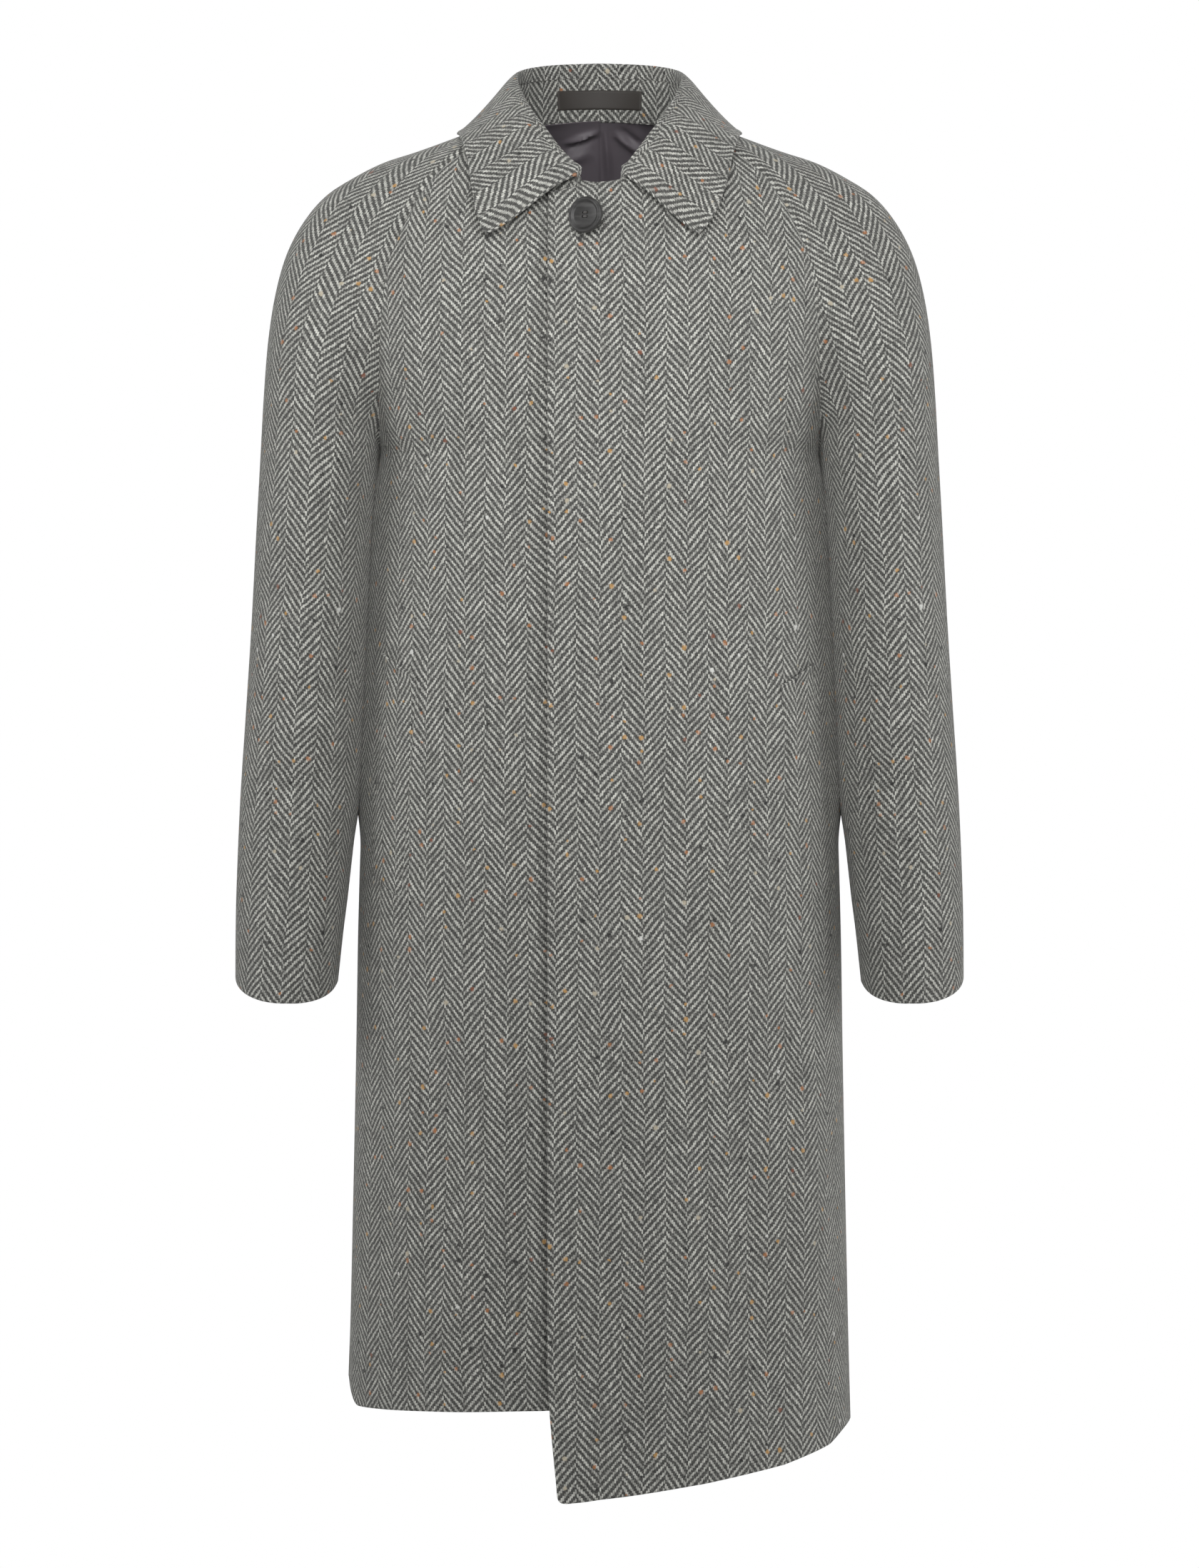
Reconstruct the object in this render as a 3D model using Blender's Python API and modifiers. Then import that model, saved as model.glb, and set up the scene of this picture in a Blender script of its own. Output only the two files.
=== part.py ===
"""Raglan overcoat in herringbone tweed, filled out as on a wearer, with a fold-down collar.

The cloth is rigid here: every cut piece is one wall lofted through sections, a short gap from
its neighbours at the seams. Metres, +Z up; the front faces -Y and the wearer's left is +X.
The origin is the middle of the neck opening, where the wearer carries the coat.
Tables are in millimetres and degrees, a row for each section from the neck downwards.
"""

import math
from collections import namedtuple

import bmesh
import bpy
from mathutils import Matrix, Vector

COAT_NAME = "raglan_coat"
MM = 0.001

# Walls and clearances
CLOTH_WALL = 0.0020
COLLAR_WALL = 0.0025
LINING_WALL = 0.0008
LABEL_WALL = 0.0008
WELT_WALL = 0.0020
LAY_GAP = 0.0004
SEAM_BACK_OFF = 0.00025
NECK_SEAM_GAP = 0.0012
ROLL_SEAM_GAP = 0.0011

# Neck opening: an oval, low at the throat and high at the nape
NECK_HALF_WIDTH = 0.080
NECK_HALF_DEPTH = 0.085
NECK_CENTRE_Y = -0.005
NECK_SIDE_Z = 0.012
THROAT_DROP = 0.054
NAPE_RISE = 0.011
FRONT_SEAM_ANGLE = math.radians(-35)
BACK_SEAM_ANGLE = math.radians(45)

# Raglan seams from the neck to the underarm. The angles say which way the cloth faces at the
# seam, on the panel's side and on the sleeve's side: az from straight ahead (front) or straight
# behind (back) towards the arm, el upwards. centre_y and centre_z give the panel's middle line.
SeamRow = namedtuple("SeamRow", "x y z panel_az panel_el sleeve_az sleeve_el centre_y centre_z")
FRONT_SEAM = [
    SeamRow(65.5, -53.8, -5.8, 30, 48, 30, 48, -90.0, -42),
    SeamRow(88, -51, -10, 28, 46, 28, 46, -95.0, -52),
    SeamRow(106, -52, -17, 27, 42, 27, 42, -99.5, -62),
    SeamRow(123, -59, -31, 29, 34, 29, 34, -105.5, -78),
    SeamRow(138, -67, -51, 33, 25, 31, 25, -111.5, -98),
    SeamRow(149, -73, -72, 38, 17, 32, 17, -116.0, -118),
    SeamRow(157, -76, -94, 44, 11, 28, 12, -119.2, -136),
    SeamRow(162, -76, -117, 51, 6, 16, 8, -121.3, -152),
    SeamRow(165, -72, -142, 58, 3, -8, 4, -123.2, -170),
    SeamRow(167, -64, -172, 66, 1, -32, 2, -125.0, -192),
    SeamRow(168, -47, -205, 75, 0, -55, 0, -126.6, -216),
    SeamRow(168.2, -24, -232, 84, 0, -75, 0, -127.6, -236),
    SeamRow(168, 0, -246, 90, 0, -90, 0, -128.0, -246),
]
BACK_SEAM = [
    SeamRow(56.6, 55.1, 17.5, 36, 50, 36, 50, 80.0, 23),
    SeamRow(80, 67, 6, 34, 46, 34, 46, 91.0, 10),
    SeamRow(102, 78, -9, 34, 40, 34, 40, 99.0, -5),
    SeamRow(120, 86, -27, 36, 33, 36, 33, 107.0, -24),
    SeamRow(136, 91, -48, 40, 25, 38, 25, 113.5, -46),
    SeamRow(147, 93, -70, 44, 17, 39, 17, 118.5, -68),
    SeamRow(155, 92, -93, 49, 11, 34, 12, 122.0, -90),
    SeamRow(160, 89, -117, 55, 6, 20, 8, 124.8, -113),
    SeamRow(164, 82, -143, 61, 3, -4, 4, 126.2, -138),
    SeamRow(166, 70, -172, 68, 1, -30, 2, 126.8, -166),
    SeamRow(167.5, 50, -205, 76, 0, -53, 0, 126.6, -200),
    SeamRow(168.2, 26, -232, 84, 0, -75, 0, 126.1, -229),
    SeamRow(168, 0, -246, 90, 0, -90, 0, 125.8, -246),
]
UNDERARM = len(FRONT_SEAM) - 1

# Body below the underarm
BodyRow = namedtuple("BodyRow", "z half_width front back")
BODY = [
    BodyRow(-246, 168, 128, 125.8),
    BodyRow(-300, 171.5, 130, 125.5),
    BodyRow(-400, 177, 133.2, 126.5),
    BodyRow(-500, 182, 136.6, 129),
    BodyRow(-600, 185.3, 140, 132.5),
    BodyRow(-700, 187, 143.5, 136.5),
    BodyRow(-800, 189, 147, 141),
    BodyRow(-900, 191.2, 150.2, 146),
    BodyRow(-967, 193, 152, 149.5),
]
HEM = UNDERARM + len(BODY) - 1
ROW_FULLNESS = 1.12

# The left front hangs lower than the right: how far, by distance from the centre front
HemRow = namedtuple("HemRow", "x drop")
LEFT_HEM = [
    HemRow(-40, 70),
    HemRow(0, 66),
    HemRow(80, 55),
    HemRow(140, 45),
    HemRow(175, 36),
    HemRow(193, 20),
]
HEM_DROP_START_Z = -0.500
LEFT_SIDE_DROP = 0.020

# Front lap: the left front over the right, which lies deeper towards the hem
OVERLAP = 0.0390
OVERLAP_HEM = 0.0300
OVERLAP_LEAN_START = 18.6
UNDERLAP = 0.0350
LAP_TOP_SLOPE = 0.22
LAP_SLOPE_ROWS = 6
UNDER_DEPTH = 0.0034
UNDER_DEPTH_HEM = 0.0120

# Sleeve: the outer ridge from the neck to the underarm, then a tube to the cuff. The pulls are
# the handles of each half section, as shares of its chord.
RidgeRow = namedtuple("RidgeRow", "x y z ridge_pull seam_pull")
RIDGE = [
    RidgeRow(80, -5, 12, 0.31, 0.35),
    RidgeRow(97, -2, 4, 0.35, 0.35),
    RidgeRow(117, 0, -3.6, 0.36, 0.35),
    RidgeRow(141, 1, -12, 0.38, 0.36),
    RidgeRow(166, 2, -20, 0.41, 0.37),
    RidgeRow(189, 2, -31.5, 0.44, 0.37),
    RidgeRow(211, 2, -46, 0.49, 0.37),
    RidgeRow(228, 2, -66, 0.53, 0.36),
    RidgeRow(241, 2, -91, 0.60, 0.34),
    RidgeRow(249.5, 2, -121, 0.68, 0.36),
    RidgeRow(255, 1, -157, 0.85, 0.52),
    RidgeRow(258.5, 1, -200, 1.00, 0.82),
    RidgeRow(261, 0, -246, 1.13, 1.13),
]
TubeRow = namedtuple("TubeRow", "z outer_x inner_x half_depth centre_y cuff_tilt")
TUBE = [
    TubeRow(-246, 261, 169.2, 78, 0, 0),
    TubeRow(-300, 264, 175.0, 77, 0, 0),
    TubeRow(-378, 268, 179.0, 74, -2, 0),
    TubeRow(-444, 272, 182.0, 70, -6, 0.02),
    TubeRow(-510, 276, 186.0, 66, -12, 0.08),
    TubeRow(-576, 278.5, 192.5, 62, -18, 0.20),
    TubeRow(-612, 279, 197.0, 59, -22, 0.27),
    TubeRow(-645, 279, 200.5, 57, -25, 0.35),
]
CUFF = UNDERARM + len(TUBE) - 1

# Collar from the nape to its front end: the neck angle, the roll line, and the leaf's outer edge.
# The shifts move the wearer's left and right halves together across the lap.
CollarRow = namedtuple(
    "CollarRow", "neck_angle roll_x roll_y roll_z edge_x edge_y edge_z roll_shift edge_shift")
COLLAR = [
    CollarRow(90, 0, 73, 63, 0, 99, 8, 0, 0),
    CollarRow(65, 33, 66, 61, 50, 91, 7, 0, 0),
    CollarRow(38, 56, 40, 55, 91, 60, 7, 0, 0),
    CollarRow(5, 62, 5, 46, 109, 5, 3, 0, 0),
    CollarRow(-20, 58, -28, 30, 107, -36, -3, 0, 0),
    CollarRow(-36, 51, -48, 15.5, 102, -62, -18, 0, 0),
    CollarRow(-52, 42, -64, 2, 98.5, -79, -35, 0, 0),
    CollarRow(-66, 30, -76, -16, 95, -93, -52, 0, -1),
    CollarRow(-76, 19, -84, -29, 90, -103.5, -70, 1, -3),
    CollarRow(-83, 10, -87.5, -34, 80, -111, -87, 2.5, -5),
]
COLLAR_END = len(COLLAR) - 1
ROLL_DEPTH = 0.007
ROLL_DEPTH_MIN = 0.005
ROLL_WIDTH = 0.009
STAND_WALL = 0.0027
STAND_END = 8.0
LEAF_BOW = -0.0018

# Label on the stand's inner face: its end station and its place in the stand's height
LABEL_END = 1.0
LABEL_LOW = 0.18
LABEL_HIGH = 0.67

# Pocket welts on the fronts
WeltRow = namedtuple("WeltRow", "side top_z bottom_z top_x bottom_x")
WELTS = [
    WeltRow(1, -424, -590, 136, 158),
    WeltRow(-1, -417, -585, 138, 150),
]
WELT_WIDTH = 0.040
WELT_TOP_RISE = 18

# Button at the throat
BUTTON_RADIUS = 0.0137
BUTTON_THICKNESS = 0.0042
BUTTON_RIM = 0.0026
BUTTON_DISH = 0.0012
BUTTON_EDGE = 0.0008
BUTTON_BACK_ROUND = 0.0030
BUTTON_HOLE_RADIUS = 0.0011
BUTTON_HOLE_SPACING = 0.0021
BUTTON_X = -0.0105
BUTTON_Z = -0.0700
BUTTON_TURN = math.radians(27)
BUTTON_LEAN = math.radians(7)

# How finely each piece is divided
FRONT_COLUMNS = 10
LAP_COLUMNS = 3
BACK_COLUMNS = 8
SLEEVE_COLUMNS = 8
COLLAR_STEPS = 18
ROLL_STEPS = 4
LEAF_STEPS = 5
STAND_STEPS = 3
LABEL_STEPS = 2
WELT_LINES = 8
WELT_COLUMNS = 3
WELT_TRACE_STEP = 0.002
BUTTON_SIDES = 28
HOLE_SIDES = 10

Finish = namedtuple("Finish", "colour roughness")
TWEED = Finish((0.235, 0.235, 0.220), 0.92)
LINING = Finish((0.070, 0.062, 0.070), 0.45)
LABEL = Finish((0.040, 0.037, 0.034), 0.70)
BUTTON = Finish((0.060, 0.060, 0.058), 0.40)


def smooth(table, t):
    """The table's row at the fractional position t, on a smooth curve through its rows."""
    last = len(table) - 1
    t = min(max(t, 0.0), float(last))
    i = min(int(t), last - 1)
    f = t - i
    columns = zip(table[max(i - 1, 0)], table[i], table[i + 1], table[min(i + 2, last)])
    values = []
    for before, start, end, after in columns:
        rise_in = 0.5 * (end - before)
        rise_out = 0.5 * (after - start)
        bend = 2 * (start - end) + rise_in + rise_out
        lean = 3 * (end - start) - 2 * rise_in - rise_out
        values.append(((bend * f + lean) * f + rise_in) * f + start)
    return type(table[0])(*values)


def bezier(controls, u):
    """The point at u on a cubic curve."""
    a, b, c, d = controls
    v = 1.0 - u
    return a * (v ** 3) + b * (3 * v * v * u) + c * (3 * v * u * u) + d * (u ** 3)


def solve(function, low, high, target):
    """Where a rising function reaches the target, by halving."""
    for _ in range(36):
        middle = 0.5 * (low + high)
        if function(middle) < target:
            low = middle
        else:
            high = middle
    return 0.5 * (low + high)


def ease(x):
    """0 below 0, 1 above 1, and smooth between."""
    x = min(max(x, 0.0), 1.0)
    return x * x * (3 - 2 * x)


def facing(azimuth, elevation, ahead):
    """The direction that the cloth faces; ahead is -1 on the front and 1 on the back."""
    az = math.radians(azimuth)
    el = math.radians(elevation)
    return Vector((math.sin(az) * math.cos(el), ahead * math.cos(az) * math.cos(el), math.sin(el)))


def neckline(angle):
    """A point on the neck oval; the angle runs from the throat (-90) by the side to the nape."""
    s = math.sin(angle)
    rise = NAPE_RISE * s * s if s > 0 else -THROAT_DROP * s * s
    return Vector((NECK_HALF_WIDTH * math.cos(angle), NECK_CENTRE_Y + NECK_HALF_DEPTH * s,
                   NECK_SIDE_Z + rise))


def neckline_direction(angle):
    """The way the neck oval runs, towards the nape."""
    step = 0.01
    return (neckline(angle + step) - neckline(angle - step)).normalized()


def span_controls(start, start_dir, end, end_dir, fullness):
    """A curve between two points that leaves each in its own direction, round as an ellipse."""
    chord = end - start
    length = chord.length
    start_turn = max(chord.angle(start_dir), 0.03)
    end_turn = max((-chord).angle(end_dir), 0.03)
    base = fullness * length / (3 * math.cos(0.25 * (start_turn + end_turn)) ** 2)
    balance = math.sin(start_turn) + math.sin(end_turn)
    start_reach = base * 2 * math.sin(end_turn) / balance
    end_reach = base * 2 * math.sin(start_turn) / balance
    return (start, start + start_dir * start_reach, end + end_dir * end_reach, end)


def panel_row(t, ahead, depth=0.0):
    """The curve of a front (ahead -1) or back (ahead 1) panel at row t, from its middle line to
    its seam on the +X side. depth sets the middle line back into the coat."""
    if t <= UNDERARM:
        row = smooth(FRONT_SEAM if ahead < 0 else BACK_SEAM, t)
        middle = Vector((0, row.centre_y, row.centre_z)) * MM
        seam = Vector((row.x, row.y, row.z)) * MM
        normal = facing(row.panel_az, row.panel_el, ahead)
    else:
        row = smooth(BODY, t - UNDERARM)
        middle = Vector((0, -row.front if ahead < 0 else row.back, row.z)) * MM
        seam = Vector((row.half_width, 0, row.z)) * MM
        normal = Vector((1, 0, 0))
    middle.y -= ahead * depth
    chord = middle - seam
    seam_dir = (chord - normal * chord.dot(normal)).normalized()
    if t < 1:
        angle = FRONT_SEAM_ANGLE if ahead < 0 else BACK_SEAM_ANGLE
        seam_dir = (neckline_direction(angle) * ahead).lerp(seam_dir, ease(t)).normalized()
    fullness = 1 + (ROW_FULLNESS - 1) * min(t / 3, 1)
    return span_controls(middle, Vector((1, 0, 0)), seam, seam_dir, fullness)


def back_off(controls):
    """The share of a curve at which it stops short of its end by the seam allowance."""
    return 1 - SEAM_BACK_OFF / (3 * (controls[3] - controls[2]).length)


def under_depth(t):
    """How far the right front's middle line lies inside the left's at row t."""
    lower = max(t - UNDERARM, 0) / (HEM - UNDERARM)
    return UNDER_DEPTH + (UNDER_DEPTH_HEM - UNDER_DEPTH) * lower ** 1.5


def hem_drop(side, x):
    """How far the hem of the front on this side hangs below the level one."""
    if side < 0:
        return 0.0
    values = [row.x * MM for row in LEFT_HEM]
    x = min(max(x, values[0]), values[-1])
    i = max(k for k in range(len(values) - 1) if values[k] <= x)
    f = (x - values[i]) / (values[i + 1] - values[i])
    return smooth(LEFT_HEM, i + f).drop * MM


def lowered(point, drop):
    """A body point after the cloth below the hip is let down by the hem drop."""
    hem_z = BODY[-1].z * MM
    share = ease((HEM_DROP_START_Z - point.z) / (HEM_DROP_START_Z - hem_z))
    return Vector((point.x, point.y, point.z - drop * share))


def front_at(x, z, under=False):
    """The point of the +X front's surface that is seen straight ahead at (x, z)."""
    def row_point(t):
        controls = panel_row(t, -1, under_depth(t) if under else 0.0)
        u = solve(lambda s: bezier(controls, s).x, 0.0, 1.0, x)
        return bezier(controls, u)
    t = solve(lambda s: -row_point(s).z, 0.0, float(HEM), -z)
    return row_point(t)


def front_point(side, t, u):
    """A point of one front, u from its middle line (0) to its seam (1)."""
    controls = panel_row(t, -1, under_depth(t) if side < 0 else 0.0)
    point = bezier(controls, u * back_off(controls))
    point = lowered(point, hem_drop(side, point.x))
    return Vector((side * point.x, point.y, point.z))


def lap_width(side, t):
    """How far a front reaches past the middle line at row t."""
    if side < 0:
        return UNDERLAP
    lean = ease((t - OVERLAP_LEAN_START) / (HEM - OVERLAP_LEAN_START))
    return OVERLAP + (OVERLAP_HEM - OVERLAP) * lean


def lap_point(side, t, share):
    """A point of the lap beyond the middle line; share runs from 0 there to 1 at the edge."""
    x = lap_width(side, t) * share
    middle = panel_row(t, -1)[0]
    slope = LAP_TOP_SLOPE * (1 - ease(t / LAP_SLOPE_ROWS))
    point = front_at(x, middle.z - slope * x, under=side < 0)
    point = lowered(point, hem_drop(side, -x))
    return Vector((-side * point.x, point.y, point.z))


def row_positions(last):
    """Row positions from the neck: each seam row, then two to a row below the underarm."""
    return list(range(UNDERARM)) + [UNDERARM + 0.5 * k for k in range(2 * (last - UNDERARM) + 1)]


def sleeve_arc(t, ahead):
    """The half section of the +X sleeve at row t, from the ridge to the front or back seam."""
    if t < UNDERARM:
        table = FRONT_SEAM if ahead < 0 else BACK_SEAM
        row = smooth(RIDGE, t)
        seam_row = smooth(table, t)
        ridge = Vector((row.x, row.y, row.z)) * MM
        seam = Vector((seam_row.x, seam_row.y, seam_row.z)) * MM
        normal = facing(seam_row.sleeve_az, seam_row.sleeve_el, ahead)
        above = smooth(table, t - 0.1)
        below = smooth(table, t + 0.1)
        along_seam = Vector((below.x - above.x, below.y - above.y, below.z - above.z)).normalized()
        chord = ridge - seam
        along_chord = (chord - normal * chord.dot(normal)).normalized()
        across_seam = normal.cross(along_seam).normalized() * -ahead
        seam_dir = (along_chord + across_seam).normalized()
        if t < 1:
            angle = FRONT_SEAM_ANGLE if ahead < 0 else BACK_SEAM_ANGLE
            seam_dir = (neckline_direction(angle) * -ahead).lerp(seam_dir, ease(t)).normalized()
        ridge_reach = row.ridge_pull * chord.length
        seam_reach = row.seam_pull * chord.length
    else:
        row = smooth(TUBE, t - UNDERARM)
        ridge = Vector((row.outer_x, row.centre_y, row.z)) * MM
        seam = Vector((row.inner_x, row.centre_y, row.z)) * MM
        seam_dir = Vector((0, ahead, 0))
        ridge_reach = seam_reach = row.half_depth * MM * 4 / 3
    ridge_dir = Vector((0, ahead, 0))
    return (ridge, ridge + ridge_dir * ridge_reach, seam + seam_dir * seam_reach, seam)


def sleeve_point(t, ahead, u):
    """A point of the +X sleeve, u from the ridge (0) to the front or back seam (1)."""
    controls = sleeve_arc(t, ahead)
    if t < UNDERARM:
        u = u * back_off(controls)
    point = bezier(controls, u)
    if t > UNDERARM:
        row = smooth(TUBE, t - UNDERARM)
        point.z += row.cuff_tilt * (point.y - row.centre_y * MM)
    return point


CollarSection = namedtuple("CollarSection", "foot up depth seam out edge")


def collar_section(s, side):
    """The collar at station s: the neck seam, the stand's rise, the roll's depth, the leaf's seam
    on the stand, the way out over the shoulder and the leaf's edge."""
    row = smooth(COLLAR, s)
    foot = neckline(math.radians(row.neck_angle))
    foot.x *= side
    roll = Vector((side * row.roll_x + row.roll_shift, row.roll_y, row.roll_z)) * MM
    edge = Vector((side * row.edge_x + row.edge_shift, row.edge_y, row.edge_z)) * MM
    up = (roll - foot).normalized()
    depth = min(ROLL_DEPTH, max(ROLL_DEPTH_MIN, 0.5 * (roll - foot).length))
    seam = roll - up * depth
    out = Vector((edge.x - seam.x, edge.y - seam.y, 0)).normalized()
    return CollarSection(foot, up, depth, seam, out, edge)


def leaf_point(s, side, step):
    """A point of the leaf's outer face: over the roll first, then down to the edge."""
    here = collar_section(s, side)
    turn = here.seam + here.out * ROLL_WIDTH
    fall = here.edge - turn
    down = fall.normalized()
    reach = here.depth * 4 / 3
    if step <= ROLL_STEPS:
        roll = (here.seam, here.seam + here.up * reach, turn - down * reach, turn)
        return bezier(roll, step / ROLL_STEPS)
    face = (here.out - down * here.out.dot(down)).normalized()
    sag = face * LEAF_BOW
    leaf = (turn, turn + fall / 3 + sag * 0.3, here.edge - fall / 3 + sag, here.edge)
    return bezier(leaf, (step - ROLL_STEPS) / LEAF_STEPS)


def stand_point(s, side, rise):
    """A point of the stand's hidden face, rise from the neck seam (0) to the leaf's seam (1)."""
    here = collar_section(s, side)
    bottom = here.foot + Vector((0, 0, NECK_SEAM_GAP))
    top = here.seam + here.out * STAND_WALL - here.up * ROLL_SEAM_GAP
    return bottom.lerp(top, rise)


def collar_stations(end=COLLAR_END):
    """Stations of the collar from its right end round the nape to its left end."""
    count = round(end / COLLAR_END * COLLAR_STEPS)
    half = [COLLAR_END * k / COLLAR_STEPS for k in range(count, 0, -1)]
    return [(s, -1) for s in half] + [(0.0, 1)] + [(s, 1) for s in reversed(half)]


def make_material(name, finish):
    """A plain material of one colour."""
    material = bpy.data.materials.new(name)
    material.use_nodes = True
    shader = material.node_tree.nodes["Principled BSDF"]
    shader.inputs["Base Color"].default_value = (*finish.colour, 1)
    shader.inputs["Roughness"].default_value = finish.roughness
    shader.inputs["Metallic"].default_value = 0.0
    return material


def add_object(name, mesh, collection, finish):
    """A named object with its own material."""
    part = bpy.data.objects.new(name, mesh)
    collection.objects.link(part)
    mesh.materials.append(make_material(name + "_finish", finish))
    return part


def grid_mesh(name, rows, outward):
    """An open surface through rows of points; columns that meet are joined into a tube.
    outward is a point that the first face looks away from."""
    shape = bmesh.new()
    grid = [[shape.verts.new(point) for point in row] for row in rows]
    for upper, lower in zip(grid, grid[1:]):
        for k in range(len(upper) - 1):
            shape.faces.new((upper[k], lower[k], lower[k + 1], upper[k + 1]))
    bmesh.ops.remove_doubles(shape, verts=shape.verts, dist=0.00001)
    shape.normal_update()
    shape.faces.ensure_lookup_table()
    face = shape.faces[len(shape.faces) // 2]
    if face.normal.dot(face.calc_center_median() - outward) < 0:
        bmesh.ops.reverse_faces(shape, faces=shape.faces)
    mesh = bpy.data.meshes.new(name)
    shape.to_mesh(mesh)
    shape.free()
    mesh.shade_smooth()
    return mesh


def add_wall(name, rows, outward, wall, collection, finish, grow=-1.0):
    """A cloth piece: an open surface given its thickness, inwards unless grow is 1."""
    part = add_object(name, grid_mesh(name, rows, outward), collection, finish)
    solid = part.modifiers.new("Wall", "SOLIDIFY")
    solid.thickness = wall
    solid.offset = grow
    solid.use_quality_normals = True
    return part


def moved_out(rows, outward, distance):
    """The grid's points moved along the surface normal, away from the point outward."""
    moved = []
    for i, row in enumerate(rows):
        above = rows[max(i - 1, 0)]
        below = rows[min(i + 1, len(rows) - 1)]
        line = []
        for k, point in enumerate(row):
            across = row[min(k + 1, len(row) - 1)] - row[max(k - 1, 0)]
            normal = across.cross(below[k] - above[k]).normalized()
            if normal.dot(point - outward) < 0:
                normal.negate()
            line.append(point + normal * distance)
        moved.append(line)
    return moved


# Points inside the body, the left arm and the neck, which the cloth faces away from
INSIDE = Vector((0, 0, -0.300))
ARM_CORE = Vector((0.225, 0, -0.350))
NECK_AXIS = Vector((0, NECK_CENTRE_Y, 0))


def add_front(name, side, collection):
    """One front, from the lap edge to the raglan and side seams."""
    rows = []
    for t in row_positions(HEM):
        lap = [lap_point(side, t, k / LAP_COLUMNS) for k in range(LAP_COLUMNS, 0, -1)]
        body = [front_point(side, t, k / FRONT_COLUMNS) for k in range(FRONT_COLUMNS + 1)]
        rows.append(lap + body)
    return add_wall(name, rows, INSIDE, CLOTH_WALL, collection, TWEED)


def back_rows():
    """Points of the back from its right seam to its left, a row for each section."""
    rows = []
    for t in row_positions(HEM):
        controls = panel_row(t, 1)
        limit = back_off(controls)
        row = []
        for k in range(-BACK_COLUMNS, BACK_COLUMNS + 1):
            point = bezier(controls, limit * abs(k) / BACK_COLUMNS)
            point.x *= -1 if k < 0 else 1
            half_width = BODY[-1].half_width * MM
            drop = LEFT_SIDE_DROP * 0.5 * (1 + point.x / half_width)
            row.append(lowered(point, drop))
        rows.append(row)
    return rows


def add_back(collection):
    """The back panel."""
    return add_wall("back", back_rows(), INSIDE, CLOTH_WALL, collection, TWEED)


def add_lining(collection):
    """The back lining: the back panel's points moved inside its wall, short of hem and sides."""
    rows = moved_out(back_rows(), INSIDE, -(CLOTH_WALL + LAY_GAP))
    rows = [row[1:-1] for row in rows[:-1]]
    return add_wall("lining_back", rows, INSIDE, LINING_WALL, collection, LINING)


def add_sleeve(name, side, collection):
    """One sleeve: open along the raglan seams, a tube below the underarm."""
    rows = []
    for t in row_positions(CUFF):
        front = [sleeve_point(t, -1, k / SLEEVE_COLUMNS) for k in range(SLEEVE_COLUMNS, 0, -1)]
        back = [sleeve_point(t, 1, k / SLEEVE_COLUMNS) for k in range(SLEEVE_COLUMNS + 1)]
        rows.append([Vector((side * p.x, p.y, p.z)) for p in front + back])
    core = Vector((side * ARM_CORE.x, ARM_CORE.y, ARM_CORE.z))
    return add_wall(name, rows, core, CLOTH_WALL, collection, TWEED)


def add_collar(collection):
    """The stand inside the neck, which ends short of the front, and the leaf turned down over it."""
    stand = [[stand_point(s, side, k / STAND_STEPS) for k in range(STAND_STEPS + 1)]
             for s, side in collar_stations(STAND_END)]
    leaf = [[leaf_point(s, side, k) for k in range(ROLL_STEPS + LEAF_STEPS + 1)]
            for s, side in collar_stations()]
    add_wall("collar_stand", stand, NECK_AXIS, STAND_WALL, collection, TWEED)
    add_wall("collar_leaf", leaf, NECK_AXIS, COLLAR_WALL, collection, TWEED)


def add_label(collection):
    """The bare woven label: points of the stand moved past its inner face."""
    rises = [LABEL_LOW + (LABEL_HIGH - LABEL_LOW) * k / LABEL_STEPS for k in range(LABEL_STEPS + 1)]
    rows = [[stand_point(s, side, rise) for rise in rises] for s, side in collar_stations(LABEL_END)]
    rows = moved_out(rows, NECK_AXIS, -(STAND_WALL + LAY_GAP))
    return add_wall("label", rows, NECK_AXIS, LABEL_WALL, collection, LABEL)


def welt_point(welt, down, across):
    """A point of the front under a welt, from its top and front edge."""
    z = welt.top_z + (welt.bottom_z - welt.top_z) * down + WELT_TOP_RISE * across
    start_x = (welt.top_x + (welt.bottom_x - welt.top_x) * down) * MM
    t = UNDERARM + solve(lambda s: -smooth(BODY, s).z, 0.0, float(len(BODY) - 1), -z)
    controls = panel_row(t, -1, under_depth(t) if welt.side < 0 else 0.0)
    u = solve(lambda s: bezier(controls, s).x, 0.0, 1.0, start_x)
    travel = 0.0
    while travel < WELT_WIDTH * across:
        travel += (bezier(controls, u + WELT_TRACE_STEP) - bezier(controls, u)).length
        u += WELT_TRACE_STEP
    return front_point(welt.side, t, u)


def add_welt(name, welt, collection):
    """A pocket welt: points of its front moved out by a gap, then thickened."""
    rows = []
    for i in range(WELT_LINES + 1):
        rows.append([welt_point(welt, i / WELT_LINES, k / WELT_COLUMNS) for k in range(WELT_COLUMNS + 1)])
    rows = moved_out(rows, INSIDE, LAY_GAP)
    return add_wall(name, rows, INSIDE, WELT_WALL, collection, TWEED, grow=1.0)


def button_profile():
    """Half the turned section, down the outer side: dished face, rounded rim, flat back."""
    half = 0.5 * BUTTON_THICKNESS
    lip = BUTTON_RADIUS - BUTTON_RIM
    return [
        (0.0, half - BUTTON_DISH),
        (lip - BUTTON_EDGE, half - BUTTON_DISH),
        (lip, half - 0.4 * BUTTON_DISH),
        (lip + BUTTON_EDGE, half),
        (BUTTON_RADIUS - BUTTON_EDGE, half - 0.2 * BUTTON_EDGE),
        (BUTTON_RADIUS, 0.2 * half),
        (BUTTON_RADIUS - 0.5 * BUTTON_EDGE, -0.5 * half),
        (BUTTON_RADIUS - BUTTON_BACK_ROUND, -half),
        (0.0, -half),
    ]


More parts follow.
